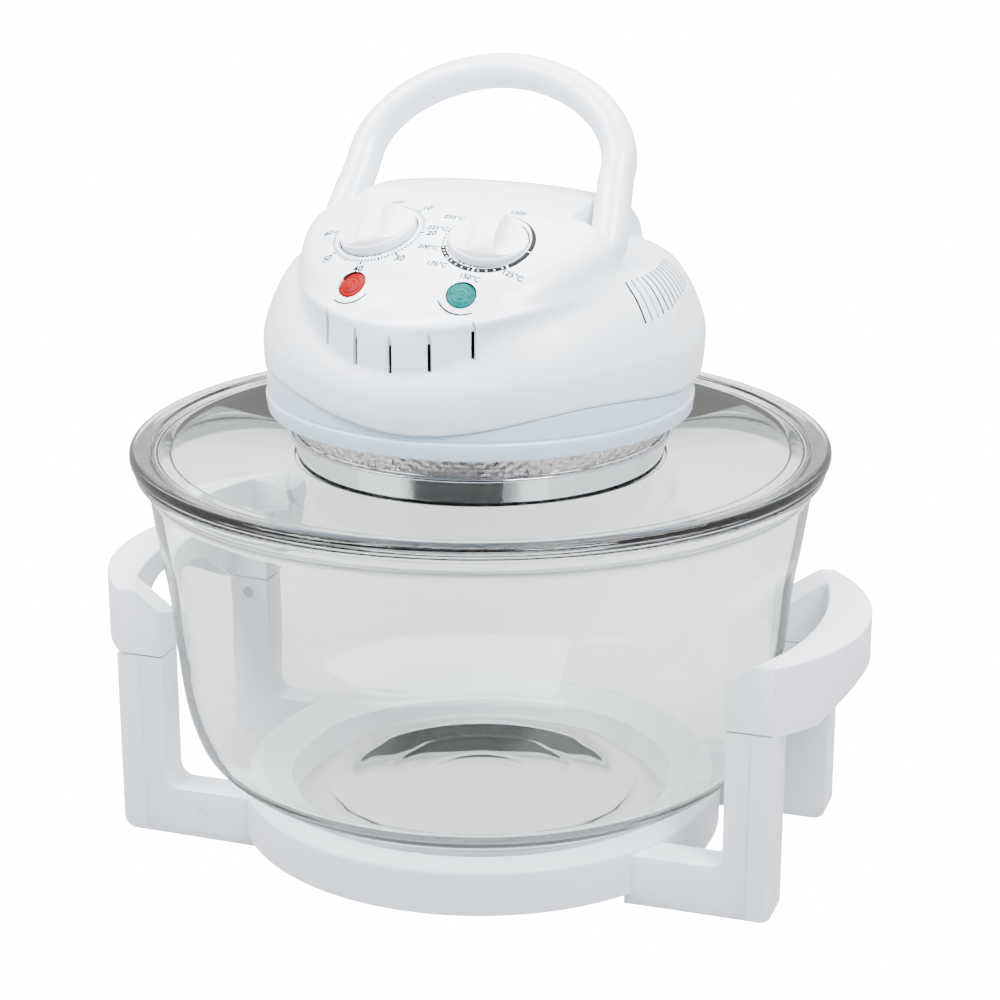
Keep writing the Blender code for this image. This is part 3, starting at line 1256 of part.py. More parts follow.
def make_stand(plastic):
    """Seat ring open below, four bars and four hollow legs in one moulding."""
    low, edge, top = SEAT_RING_LOW_Z, SEAT_RING_EDGE_Z, SEAT_RING_TOP_Z
    bore = SEAT_RING_BORE_R
    inner_r, outer_r = bore + STAND_WALL, SEAT_RING_R - STAND_WALL
    profile = (
        (bore, low), (inner_r, low), (inner_r, edge - SEAT_RING_INNER_DROP), (outer_r, edge - STAND_WALL),
        (outer_r, low), (SEAT_RING_R, low), (SEAT_RING_R, edge), (SEAT_RING_R - SEAT_RING_CHAMFER, top),
        (bore, top),
    )
    stand = turned("stand_frame", profile)
    near = STAND_HALF_Y - LEG_DEPTH
    leg = leg_outline(0.0, 0.0, 0.0, GRIP_END_Z - GAP, BAR_START_X)
    for corner in leg_corners():
        join(stand, upright(leg, near, STAND_HALF_Y, corner, "leg"))
    core = leg_outline(STAND_WALL, -OVERRUN, FOOT_PAD, GRIP_END_Z + OVERRUN, BAR_START_X + STAND_WALL)
    for corner in leg_corners():
        seat = leg_screw_frame(corner)
        cut(stand, upright(core, near + STAND_WALL, STAND_HALF_Y - STAND_WALL, corner, "core"))
        cut(stand, rod("screw_hole", SCREW_R + GAP, -OVERRUN, STAND_WALL + GAP, TINY_STEPS, seat))
    cut(stand, bowl_clearance())
    return finish(stand, plastic)


def leg_screw_frame(corner):
    """The screw enters a leg's inner face, on the leg's middle, under the grip's end."""
    side_x, side_y = corner
    middle = side_x * (LEG_IN_X + LEG_OUT_X) / 2.0
    place = (middle, side_y * (STAND_HALF_Y - LEG_DEPTH), GRIP_END_Z - LEG_SCREW_DROP)
    return Matrix.Translation(place) @ Matrix.Rotation(-side_y * pi / 2.0, 4, "X")


def make_leg_screws(steel):
    """One screw in each leg, through its wall into the grip's boss."""
    length = STAND_WALL + GAP + LEG_SCREW_BITE
    profile = (
        (0.0, -GAP - SCREW_HEAD_H), (SCREW_HEAD_R, -GAP - SCREW_HEAD_H), (SCREW_HEAD_R, -GAP),
        (SCREW_R, -GAP), (SCREW_R, length), (0.0, length),
    )
    for number, corner in enumerate(leg_corners(), 1):
        finish(turned(f"leg_screw_{number}", profile, TINY_STEPS, leg_screw_frame(corner)), steel)


def crescent(side, wall, reach_y):
    """Plan of one side handle: the inner edge round the bowl, the outer edge round its own centre."""
    inner_r, outer_r = GRIP_INNER_R + wall, GRIP_OUTER_R - wall
    inner_turn = asin(reach_y / inner_r)
    outer_turn = asin(reach_y / outer_r)
    outer = arc((GRIP_OUTER_X, 0.0), outer_r, -outer_turn, outer_turn, GRIP_OUTER_STEPS)
    inner = arc((0.0, 0.0), inner_r, inner_turn, -inner_turn, GRIP_INNER_STEPS)
    return [(side * x, y) for x, y in outer + inner]


def make_grip(name, plastic, side):
    """Side handle: an upturned tray between two legs, with a socket over each leg."""
    grip = prism(name, crescent(side, 0.0, STAND_HALF_Y), GRIP_END_Z, GRIP_TOP_Z)
    near = STAND_HALF_Y - LEG_DEPTH - CAP_PROUD
    cap_in, cap_out = LEG_IN_X - CAP_PROUD, LEG_OUT_X + CAP_PROUD
    for side_y in (-1, 1):
        y_pair = sorted((side_y * near, side_y * (STAND_HALF_Y + CAP_PROUD)))
        x_pair = sorted((side * cap_in, side * cap_out))
        low, high = (x_pair[0], y_pair[0], GRIP_END_Z + GAP), (x_pair[1], y_pair[1], GRIP_TOP_Z - GAP)
        join(grip, block("cap", low, high))
    plan = crescent(side, STAND_WALL, STAND_HALF_Y - LEG_DEPTH - STAND_WALL)
    cut(grip, prism("tray", plan, GRIP_END_Z - OVERRUN, GRIP_TOP_Z - STAND_WALL))
    cut(grip, arch_cutter(side, GRIP_ARCH_Z, GRIP_OUTER_X + GRIP_OUTER_R + OVERRUN))
    cut(grip, arch_cutter(side, GRIP_INNER_WALL_Z, GRIP_INNER_R + STAND_WALL + SEAM))
    for side_y in (-1, 1):
        y_pair = sorted((side_y * (near + STAND_WALL + CAP_PROUD), side_y * (STAND_HALF_Y - STAND_WALL)))
        x_pair = sorted((side * (LEG_IN_X + STAND_WALL), side * (LEG_OUT_X - STAND_WALL)))
        boss_top = GRIP_END_Z + TENON_H
        low = (x_pair[0] + GAP, y_pair[0] + GAP, GRIP_END_Z - TENON_BOSS)
        high = (x_pair[1] - GAP, y_pair[1] - GAP, boss_top)
        join(grip, block("tenon", low, high))
        length = STAND_WALL + GAP + LEG_SCREW_BITE + GAP
        cut(grip, rod("bore", SCREW_R + GAP, 0.0, length, TINY_STEPS, leg_screw_frame((side, side_y))))
    cut(grip, bowl_clearance())
    return finish(grip, plastic)


def arch_cutter(side, arch_z, far):
    """Arched space under a wall of the side handle, between the legs."""
    half = STAND_HALF_Y - LEG_DEPTH - STAND_WALL
    rise = arch_z - GRIP_END_Z
    radius = (half * half + rise * rise) / (2.0 * rise)
    sweep = asin(half / radius)
    outline = arc((0.0, arch_z - radius), radius, pi / 2.0 + sweep, pi / 2.0 - sweep, GRIP_INNER_STEPS)
    outline = [(-half, GRIP_END_Z - OVERRUN)] + outline + [(half, GRIP_END_Z - OVERRUN)]
    near = LEG_IN_X - OVERRUN
    rings = [[(side * x, y, z) for y, z in outline] for x in (near, far)]
    return lofted("arch", rings)


def main():
    clear_scene()
    white = (0.86, 0.88, 0.92)
    glass = material("clear_glass", (0.80, 0.84, 0.84), 0.05, 0.0, 0.9)
    stand_plastic = material("stand_plastic", (0.88, 0.89, 0.93), 0.35)
    housing_plastic = material("housing_plastic", white, 0.18)
    handle_plastic = material("handle_plastic", (0.87, 0.88, 0.94), 0.22)
    ring_plastic = material("ring_plastic", (0.70, 0.80, 0.90), 0.30)
    chrome = material("collar_chrome", (0.72, 0.73, 0.75), 0.08, 1.0)
    foil = material("dimpled_foil", (0.78, 0.75, 0.76), 0.25, 1.0)
    mirror = material("reflector_metal", (0.80, 0.80, 0.80), 0.15, 1.0)
    steel = material("steel", (0.60, 0.60, 0.62), 0.30, 1.0)
    motor_metal = material("motor_metal", (0.50, 0.50, 0.52), 0.40, 1.0)
    dark_plastic = material("dark_plastic", (0.06, 0.06, 0.07), 0.45)
    rubber = material("gland_rubber", (0.78, 0.80, 0.83), 0.60)
    ceramic = material("lamp_ceramic", (0.85, 0.82, 0.76), 0.60)
    quartz = material("lamp_quartz", (0.92, 0.88, 0.80), 0.10, 0.0, 0.8)
    red = material("red_lens", (0.85, 0.05, 0.04), 0.08, 0.0, 0.4)
    teal = material("teal_lens", (0.00, 0.50, 0.45), 0.08, 0.0, 0.4)
    pilot = material("pilot_glass", (0.95, 0.75, 0.55), 0.15, 0.0, 0.5)

    make_stand(stand_plastic)
    make_grip("left_side_handle", stand_plastic, -1)
    make_grip("right_side_handle", stand_plastic, 1)
    make_leg_screws(steel)
    make_bowl(glass)
    make_lid(glass)

    head = bpy.data.objects.new("head_frame", None)
    bpy.context.scene.collection.objects.link(head)
    head.rotation_euler = (0.0, 0.0, HEAD_TURN)
    make_collar(chrome).parent = head
    make_shield(foil, head)
    make_reflector(mirror, head)
    make_guard(steel, head)
    make_lamp(quartz, head)
    make_holders(ceramic, head)
    make_base_ring(ring_plastic, head)
    make_motor(motor_metal, head)
    make_shaft(steel, head)
    fan_low = REFLECTOR_TOP_Z - REFLECTOR_SHEET - FAN_DROP - FAN_H
    make_fan("fan_impeller", mirror, head, FAN_R, fan_low, FAN_H, FAN_LEAN)
    make_fan("cooling_fan", dark_plastic, head, COOLER_R, MOTOR_TOP_Z + RUN_GAP, COOLER_H, COOLER_LEAN)
    make_terminal(dark_plastic, head)
    make_cutout(steel, head)
    make_switch(dark_plastic, head)
    make_housing(housing_plastic, head)
    make_base_screws(steel, head)
    make_gland(rubber, head)
    lenses = (("red_lens", red), ("teal_lens", teal))
    for (name, colour), frame in zip(lenses, lens_frames()):
        make_lens(name, colour, frame, head)
    make_pilots(pilot, head)

    timer_frame, thermostat_frame = dial_frames()
    timer_axis = dial_axis("timer_axis", timer_frame, head)
    make_timer(motor_metal, timer_axis)
    make_spindle("timer_spindle", steel, timer_axis)
    make_knob("timer_knob", handle_plastic, timer_axis)
    thermostat_axis = dial_axis("thermostat_axis", thermostat_frame, head)
    make_thermostat(dark_plastic, thermostat_axis)
    make_spindle("thermostat_spindle", steel, thermostat_axis)
    make_knob("temperature_knob", handle_plastic, thermostat_axis)

    handle_axis = dial_axis("handle_axis", handle_frame(), head)
    make_handle(handle_plastic, handle_axis)
    make_pins(steel, handle_axis)


main()
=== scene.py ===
"""Dress of the halogen oven: glass bowl and lid, moulded heater head, dials, lenses, handles and stand."""

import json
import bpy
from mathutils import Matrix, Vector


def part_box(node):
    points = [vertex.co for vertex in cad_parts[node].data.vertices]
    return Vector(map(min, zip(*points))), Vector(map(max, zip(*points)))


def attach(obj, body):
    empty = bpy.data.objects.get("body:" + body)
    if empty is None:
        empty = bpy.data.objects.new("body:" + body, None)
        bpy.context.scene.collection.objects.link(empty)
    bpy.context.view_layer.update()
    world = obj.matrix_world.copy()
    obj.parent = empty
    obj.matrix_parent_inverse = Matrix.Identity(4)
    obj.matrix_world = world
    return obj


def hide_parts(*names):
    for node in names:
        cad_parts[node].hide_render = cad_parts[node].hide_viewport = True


bl_info = {
    "name": "Halogen oven dress",
    "version": (1, 0, 0),
    "blender": (4, 5, 0),
    "location": "3D View > Sidebar > Oven",
    "description": "Builds the visible pieces of a countertop halogen oven over its packed frame",
    "category": "Object",
}

from math import cos, pi, radians, sin

import bpy
import numpy as np
from mathutils import Matrix, Vector

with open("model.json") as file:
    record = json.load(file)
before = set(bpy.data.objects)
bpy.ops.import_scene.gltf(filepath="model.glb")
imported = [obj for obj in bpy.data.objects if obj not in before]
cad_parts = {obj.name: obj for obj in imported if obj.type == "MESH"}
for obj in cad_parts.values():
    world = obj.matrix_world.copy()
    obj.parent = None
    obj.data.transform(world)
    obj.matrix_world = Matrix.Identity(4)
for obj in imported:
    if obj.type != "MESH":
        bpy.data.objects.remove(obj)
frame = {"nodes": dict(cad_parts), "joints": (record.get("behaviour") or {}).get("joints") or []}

JOINTS = {joint["name"]: joint for joint in frame["joints"]}


# Sizes and colours a user may change

def length_setting(name, description, default, low, high):
    """A length in metres."""
    return bpy.props.FloatProperty(
        name=name, description=description, default=default, min=low, max=high, subtype="DISTANCE")


def number_setting(name, description, default, low, high):
    """A plain number, such as a brightness."""
    return bpy.props.FloatProperty(name=name, description=description, default=default, min=low, max=high)


def count_setting(name, description, default, low, high):
    """A whole number."""
    return bpy.props.IntProperty(name=name, description=description, default=default, min=low, max=high)


def colour_setting(name, description, default):
    """A colour as red, green and blue."""
    return bpy.props.FloatVectorProperty(
        name=name, description=description, default=default, size=3, min=0.0, max=1.0, subtype="COLOR")


class OvenGlassSizes(bpy.types.PropertyGroup):
    rim_radius: length_setting("Bowl rim radius", "Outside of the bowl's rim bead", 0.1630, 0.08, 0.30)
    top: length_setting("Bowl top", "Height of the bowl's rim", 0.1910, 0.10, 0.40)
    base: length_setting("Bowl base", "Height of the bowl's underside", 0.0180, 0.002, 0.10)
    wall: length_setting("Wall", "Thickness of the bowl's wall", 0.0042, 0.002, 0.010)
    lid_radius: length_setting("Lid rim radius", "Outside of the lid's rim bead", 0.1650, 0.08, 0.30)
    tint: colour_setting("Glass tint", "Colour of the glass", (0.935, 0.955, 0.94))


class OvenHeadSizes(bpy.types.PropertyGroup):
    reach: length_setting("Reach", "Reach of the housing to the front", 0.1030, 0.06, 0.20)
    height: length_setting("Height", "From the skirt's lower edge to the top", 0.0937, 0.05, 0.20)
    turn: bpy.props.FloatProperty(
        name="Turn", description="Turn of the head on the lid", default=radians(-4.0), min=-pi, max=pi,
        subtype="ANGLE")
    columns: count_setting("Columns", "Grid columns round the housing", 360, 60, 720)
    rows: count_setting("Rows", "Grid rows from the skirt to the top", 176, 40, 300)
    knob_radius: length_setting("Knob radius", "Outside of the two dials", 0.0176, 0.008, 0.030)
    knob_height: length_setting("Knob height", "From the panel to the top of the grip", 0.0098, 0.004, 0.020)


class OvenStandSizes(bpy.types.PropertyGroup):
    edge: length_setting("Edge rounding", "Rounding of the stand's edges", 0.0009, 0.0002, 0.003)
    half_depth: length_setting("Half depth", "The legs' front and rear faces", 0.0678, 0.03, 0.15)


class OvenFinishes(bpy.types.PropertyGroup):
    housing: colour_setting("Housing", "White of the head and the carry handle", (0.755, 0.82, 0.90))
    knob: colour_setting("Knobs", "White of the dials", (0.80, 0.84, 0.90))
    ring: colour_setting("Ring", "Pale blue of the ring under the head", (0.49, 0.63, 0.78))
    stand: colour_setting("Stand", "White of the stand and the side handles", (0.68, 0.71, 0.785))
    red: colour_setting("Red lens", "Colour of the left lens", (0.170, 0.0003, 0.0003))
    teal: colour_setting("Teal lens", "Colour of the right lens", (0.0, 0.085, 0.076))
    ink: colour_setting("Ink", "Grey of the dial marks", (0.010, 0.0105, 0.012))


class OvenStageSettings(bpy.types.PropertyGroup):
    floor: length_setting("Floor", "Half width of the floor", 6.0, 1.0, 40.0)
    key: number_setting("Softboxes", "Power that the three softboxes share", 190.0, 0.0, 900.0)
    world: number_setting("Surround", "Brightness of the surround as a light", 0.80, 0.0, 20.0)
    backdrop: number_setting("Backdrop", "Brightness of the backdrop as the camera sees it", 24.0, 0.0, 50.0)
    glow: number_setting("Floor glow", "Brightness of the lit floor in the camera", 22.0, 0.0, 50.0)
    glass_glow: number_setting("Glow in glass", "Brightness the floor adds behind glass", 0.8, 0.0, 20.0)
    room_azimuth: number_setting(
        "Dark side", "Azimuth of the surround's dark side, in degrees from the front", 8.0, -180.0, 180.0)
    room_dark: number_setting("Darkness", "Brightness left on the dark side", 0.035, 0.0, 1.0)
    light_colour: colour_setting("Light colour", "Colour of the surround", (0.90, 0.95, 1.0))


# Meshes from grids

def full_turn(steps):
    """Angles round a whole turn, the last one short of the first."""
    return np.linspace(0.0, 2.0 * pi, steps, endpoint=False)


def xyz(x, y, z):
    """Points from their coordinates, each a number or an array that stretches to the others."""
    return np.stack(np.broadcast_arrays(x, y, z), axis=-1)


def place(points, matrix):
    """Points carried by a matrix, as one array."""
    m = np.array(matrix)
    return points @ m[:3, :3].T + m[:3, 3]


def unused_dropped(points, faces):
    """Keep the points that the faces use, and number the faces anew."""
    used = np.unique(np.concatenate([face.ravel() for face in faces]))
    number = np.full(len(points), -1)
    number[used] = np.arange(len(used))
    return points[used], [number[face] for face in faces]


def volume(points, faces):
    """Signed volume inside faces of three or four corners."""
    total = 0.0
    for face in faces:
        for k in range(1, face.shape[1] - 1):
            a, b, c = points[face[:, 0]], points[face[:, k]], points[face[:, k + 1]]
            total += np.einsum("ij,ij->", a, np.cross(b, c))
    return total / 6.0


def mesh_of(name, points, faces):
    """A mesh from points and arrays of faces, one array for each number of corners."""
    sizes = np.concatenate([np.full(len(face), face.shape[1]) for face in faces])
    corners = np.concatenate([face.ravel() for face in faces])
    mesh = bpy.data.meshes.new(name)
    mesh.vertices.add(len(points))
    mesh.vertices.foreach_set("co", points.ravel())
    mesh.loops.add(len(corners))
    mesh.loops.foreach_set("vertex_index", corners)
    mesh.polygons.add(len(sizes))
    mesh.polygons.foreach_set("loop_start", np.concatenate(([0], np.cumsum(sizes)[:-1])))
    mesh.update(calc_edges=True)
    mesh.validate()
    return mesh


def put_mesh(name, points, faces):
    """A closed mesh from points and arrays of faces, turned to face outward, without unused points."""
    faces = [face for face in faces if len(face)]
    points, faces = unused_dropped(np.asarray(points, float), faces)
    if volume(points - points.mean(axis=0), faces) < 0.0:
        faces = [face[:, ::-1] for face in faces]
    return mesh_of(name, points, faces)


def grid_faces(index, around, loop):
    """Faces between the rows and columns of a grid of point numbers; a pole row gives triangles."""
    low = index if loop else index[:-1]
    high = np.roll(index, -1, axis=0) if loop else index[1:]
    if around:
        low_next, high_next = np.roll(low, -1, axis=1), np.roll(high, -1, axis=1)
    else:
        low, low_next, high, high_next = low[:, :-1], low[:, 1:], high[:, :-1], high[:, 1:]
    quads = np.stack([low, low_next, high_next, high], axis=-1).reshape(-1, 4)
    low_pole = quads[:, 0] == quads[:, 1]
    high_pole = quads[:, 2] == quads[:, 3]
    both = low_pole & high_pole
    return [quads[~low_pole & ~high_pole], quads[low_pole & ~both][:, [0, 2, 3]],
            quads[high_pole & ~both][:, [0, 1, 2]]]


def grid_numbers(grid, first=0):
    """Point numbers of a grid; a row that shrinks to one point gets one number."""
    rows, cols = grid.shape[:2]
    index = np.arange(rows * cols).reshape(rows, cols) + first
    pole = np.ptp(grid, axis=1).max(axis=1) < 1e-9
    index[pole] = index[pole][:, :1]
    return index


def new_piece(name, mesh, finish, body, sharp=32.0):
    """Link a mesh as a piece that rides on a body, with its finish and smooth shading."""
    piece = bpy.data.objects.new(name, mesh)
    bpy.context.scene.collection.objects.link(piece)
    mesh.materials.clear()
    mesh.materials.append(finish)
    mesh.shade_smooth()
    mesh.set_sharp_from_angle(angle=radians(sharp))
    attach(piece, body)
    return piece


def skin(name, grid, loop=False):
    """Mesh over rows of points that close round; a loop also joins the last row to the first."""
    return put_mesh(name, grid.reshape(-1, 3), grid_faces(grid_numbers(grid), True, loop))


def turned_grid(profile, steps):
    """A profile of radius and height carried round the upright axis."""
    r, z = np.asarray(profile, float).T[..., None]
    turn = full_turn(steps)
    return xyz(r * np.cos(turn), r * np.sin(turn), z)


def turned(name, profile, steps, matrix=None, closed=True):
    """Turned mesh: x = r cos t, y = r sin t, z = z, for a closed outline or one from axis to axis."""
    grid = turned_grid(profile, steps)
    if matrix is not None:
        grid = place(grid, matrix)
    return skin(name, grid, closed)


def rounded(corners, radius, steps, closed=True):
    """An outline whose corners become arcs that touch both sides; an arc takes at most half a side."""
    points = np.asarray(corners, float)
    radius = np.broadcast_to(np.asarray(radius, float), len(points)).copy()
    if not closed:
        radius[[0, -1]] = 0.0
    back, ahead = np.roll(points, 1, axis=0) - points, np.roll(points, -1, axis=0) - points
    back_length = np.linalg.norm(back, axis=1)
    ahead_length = np.linalg.norm(ahead, axis=1)
    back, ahead = back / back_length[:, None], ahead / ahead_length[:, None]
    half = np.arccos(np.clip((back * ahead).sum(axis=1), -0.99999, 0.99999)) / 2.0
    reach = np.minimum(radius / np.tan(half), 0.49 * np.minimum(back_length, ahead_length))
    middle = back + ahead
    middle /= np.maximum(np.linalg.norm(middle, axis=1), 1e-9)[:, None]
    centre = points + middle * (reach / np.cos(half))[:, None]
    start = points + back * reach[:, None] - centre
    end = points + ahead * reach[:, None] - centre
    sweep = np.maximum(pi - 2.0 * half, 1e-6)
    part = np.linspace(0.0, 1.0, steps + 1)[None, :]
    first = (np.sin((1.0 - part) * sweep[:, None]) / np.sin(sweep)[:, None])[..., None]
    second = (np.sin(part * sweep[:, None]) / np.sin(sweep)[:, None])[..., None]
    line = (centre[:, None] + first * start[:, None] + second * end[:, None]).reshape(-1, 2)
    keep = np.linalg.norm(line - np.roll(line, 1, axis=0), axis=1) > 1e-7
    if not closed:
        keep[0] = True
    return line[keep]


def through(points, count, run=None, until=None):
    """Smooth line through points: a cubic between each two, its slopes those of the neighbours."""
    points = np.asarray(points, float)
    if run is None:
        run = np.concatenate(([0.0], np.cumsum(np.linalg.norm(np.diff(points, axis=0), axis=1))))
    slope = np.gradient(points, run, axis=0)
    at = np.linspace(0.0, run[-1] if until is None else until, count)
    k = np.clip(np.searchsorted(run, at, side="right") - 1, 0, len(run) - 2)
    step = (run[k + 1] - run[k])[:, None]
    t = (at - run[k])[:, None] / step
    return ((1.0 + 2.0 * t) * (1.0 - t) ** 2 * points[k] + t * (1.0 - t) ** 2 * step * slope[k]
            + t * t * (3.0 - 2.0 * t) * points[k + 1] + t * t * (t - 1.0) * step * slope[k + 1])


def beside(line, distance):
    """An open outline shifted to its left by a distance."""
    step = np.gradient(line, axis=0)
    step /= np.linalg.norm(step, axis=1)[:, None]
    return line + distance * np.stack([-step[:, 1], step[:, 0]], axis=1)


def combined(name, first, second, operation):
    """The union or the difference of two closed meshes."""
    body, other = bpy.data.objects.new(name, first), bpy.data.objects.new(name + "_tool", second)
    for item in (body, other):
        bpy.context.scene.collection.objects.link(item)
    change = body.modifiers.new("change", "BOOLEAN")
    change.operation, change.solver, change.object = operation, "MANIFOLD", other
    result = bpy.data.meshes.new_from_object(body.evaluated_get(bpy.context.evaluated_depsgraph_get()))
    if len(result.polygons) < len(first.polygons) // 4:
        raise RuntimeError("too few faces came back: " + name)
    for item in (body, other):
        bpy.data.objects.remove(item)
    result.name = name
    return result


def carved(mesh, name, cutters):
    """A closed mesh with closed cutters taken away."""
    return combined(name, mesh, joined(name + "_tool", cutters), "DIFFERENCE")


def welded(first, second, name):
    """Two closed meshes as one moulding."""
    return combined(name, first, second, "UNION")


def mesh_arrays(mesh):
    """Points and faces of a mesh, its faces sorted by their number of corners."""
    points = np.empty(len(mesh.vertices) * 3)
    mesh.vertices.foreach_get("co", points)
    corners = np.empty(len(mesh.loops), dtype=int)
    mesh.loops.foreach_get("vertex_index", corners)
    starts = np.empty(len(mesh.polygons), dtype=int)
    mesh.polygons.foreach_get("loop_start", starts)
    sizes = np.empty(len(mesh.polygons), dtype=int)
    mesh.polygons.foreach_get("loop_total", sizes)
    faces = [corners[starts[sizes == k][:, None] + np.arange(k)] for k in np.unique(sizes)]
    return points.reshape(-1, 3), faces


def joined(name, meshes):
    """Several meshes side by side in one, each already facing outward."""
    points, faces, first = [], [], 0
    for mesh in meshes:
        its_points, its_faces = mesh_arrays(mesh)
        points.append(its_points)
        faces += [face + first for face in its_faces]
        first += len(its_points)
    return mesh_of(name, np.concatenate(points), faces)


def prism(name, outline, low, high, matrix):
    """An outline that bulges nowhere inward, carried from one height to another and closed by fans."""
    outline = np.asarray(outline, float)
    middle = np.tile(outline.mean(axis=0), (len(outline), 1))
    rings = [xyz(*ring.T, z) for ring, z in ((middle, low), (outline, low), (outline, high), (middle, high))]
    return skin(name, place(np.stack(rings), matrix))


def disc(radius, steps):
    """Outline of a circle."""
    turn = full_turn(steps)
    return np.column_stack([radius * np.cos(turn), radius * np.sin(turn)])


def box_outline(half_x, half_y):
    """Outline of a rectangle."""
    return [(-half_x, -half_y), (half_x, -half_y), (half_x, half_y), (-half_x, half_y)]


# Finishes

def wired(tree, item, **values):
    """Give a node's inputs values or other nodes' outputs; an underscore in a name stands for a space."""
    for key, value in values.items():
        socket = item.inputs[key.replace("_", " ")]
        if isinstance(value, bpy.types.NodeSocket):
            tree.links.new(value, socket)
        else:
            socket.default_value = value
    return item


def node(tree, kind, **values):
    """A new node with some of its inputs given."""
    return wired(tree, tree.nodes.new(kind), **values)


def reckoned(tree, operation, *values):
    """Result of a Math node that takes numbers and other nodes' outputs."""
    item = tree.nodes.new("ShaderNodeMath")
    item.operation = operation
    for socket, value in zip(item.inputs, values):
        if isinstance(value, bpy.types.NodeSocket):
            tree.links.new(value, socket)
        else:
            socket.default_value = value
    return item.outputs[0]


def mixed(tree, share, first, second):
    """Two nodes' shaders mixed by a share from the first to the second."""
    item = wired(tree, tree.nodes.new("ShaderNodeMixShader"), Fac=share)
    tree.links.new(first.outputs[0], item.inputs[1])
    tree.links.new(second.outputs[0], item.inputs[2])
    return item


def made_once(dress):
    """Turn a function that dresses a new material's tree and shader into one that takes the material's
    name first and gives the material, made once for each name."""
    def finish(name, *values, **named):
        material = bpy.data.materials.get(name)
        if material is None:
            material = bpy.data.materials.new(name)
            material.use_nodes = True
            dress(material.node_tree, material.node_tree.nodes["Principled BSDF"], *values, **named)
        return material
    return finish


def grain(tree, shader, rough, spread, mottle, bump_scale, bump, colour, shade):
    """Roughness that wanders by spread, a fine bump, and a colour that wanders a little."""
    where = tree.nodes.new("ShaderNodeTexCoord").outputs["Object"]
    broad = node(tree, "ShaderNodeTexNoise", Vector=where, Scale=mottle, Detail=5.0, Roughness=0.55)
    span = node(tree, "ShaderNodeMapRange", Value=broad.outputs["Fac"], From_Min=0.3, From_Max=0.7,
                To_Min=rough - spread, To_Max=rough + spread)
    fine = node(tree, "ShaderNodeTexNoise", Vector=where, Scale=bump_scale, Detail=3.0, Roughness=0.5)
    relief = node(tree, "ShaderNodeBump", Strength=bump, Distance=0.0004, Height=fine.outputs["Fac"])
    ramp = node(tree, "ShaderNodeValToRGB", Fac=broad.outputs["Fac"])
    low, high = ramp.color_ramp.elements
    low.position, high.position = 0.30, 0.70
    low.color = (*[c * (1.0 - shade) for c in colour], 1.0)
    high.color = (*[min(1.0, c * (1.0 + shade)) for c in colour], 1.0)
    wired(tree, shader, Roughness=span.outputs["Result"], Normal=relief.outputs["Normal"],
          Base_Color=ramp.outputs["Color"])
    return where, relief.outputs["Normal"]


@made_once
def moulded_plastic(tree, shader, colour, rough=0.30, coat=0.25, grain_depth=0.035, soft=0.04):
    """Glossy moulded plastic: faint orange-peel bump, wandering gloss, a thin clear skin."""
    wired(tree, shader, IOR=1.50, Coat_Weight=coat, Coat_Roughness=0.12, Subsurface_Weight=soft,
          Subsurface_Radius=(0.004, 0.004, 0.005), Subsurface_Scale=0.4)
    grain(tree, shader, rough, 0.05, 26.0, 900.0, grain_depth, colour, 0.012)


def housing_finish():
    """Gloss plastic that the housing and the carry handle share."""
    return moulded_plastic("white gloss housing", settings()[3].housing, 0.27, 0.30)


def stand_finish():
    """Satin plastic that the stand and the side handles share."""
    return moulded_plastic("white satin stand plastic", settings()[3].stand, 0.34, 0.12)


@made_once
def rubber_finish(tree, shader, colour, rough=0.62):
    """Dull, finely grained rubber or ceramic."""
    grain(tree, shader, rough, 0.08, 60.0, 1400.0, 0.25, colour, 0.10)


@made_once
def metal_finish(tree, shader, colour, rough, spread, bump, scale):
    """Bare metal: bright, with fine marks."""
    wired(tree, shader, Metallic=1.0)
    grain(tree, shader, rough, spread, 40.0, scale, bump, colour, 0.05)


@made_once
def glass_finish(tree, shader, tint, rough=0.0, ior=1.50, ripple=0.02):
    """Clear glass with faint pressing ripples. Almost half of it only refracts, which calms its mirror,
    and lamps shine through it almost unhindered."""
    where = tree.nodes.new("ShaderNodeTexCoord").outputs["Object"]
    wave = node(tree, "ShaderNodeTexNoise", Vector=where, Scale=38.0, Detail=1.0, Roughness=0.4)
    relief = node(tree, "ShaderNodeBump", Strength=ripple, Distance=0.001, Height=wave.outputs["Fac"])
    normal = relief.outputs["Normal"]
    wired(tree, shader, Base_Color=(*tint, 1.0), Roughness=rough, IOR=ior, Transmission_Weight=1.0,
          Normal=normal)
    root_tint = (*[c ** 0.5 for c in tint], 1.0)
    clear = node(tree, "ShaderNodeBsdfRefraction", Color=root_tint, Roughness=rough, IOR=ior, Normal=normal)
    lamp_tint = (*[0.85 * c + 0.09 for c in tint], 1.0)
    unhindered = node(tree, "ShaderNodeBsdfTransparent", Color=lamp_tint)
    in_shadow = tree.nodes.new("ShaderNodeLightPath").outputs["Is Shadow Ray"]
    whole = mixed(tree, in_shadow, mixed(tree, 0.45, shader, clear), unhindered)
    wired(tree, tree.nodes["Material Output"], Surface=whole.outputs[0])


@made_once
def lens_finish(tree, shader, colour):
    """Coloured lens plastic, almost without a mirror, that glows a little from inside."""
    wired(tree, shader, IOR=1.49, Specular_IOR_Level=0.07, Coat_Weight=0.02, Coat_Roughness=0.10,
          Emission_Color=(*colour, 1.0), Emission_Strength=0.6)
    grain(tree, shader, 0.30, 0.06, 420.0, 1600.0, 0.12, colour, 0.30)


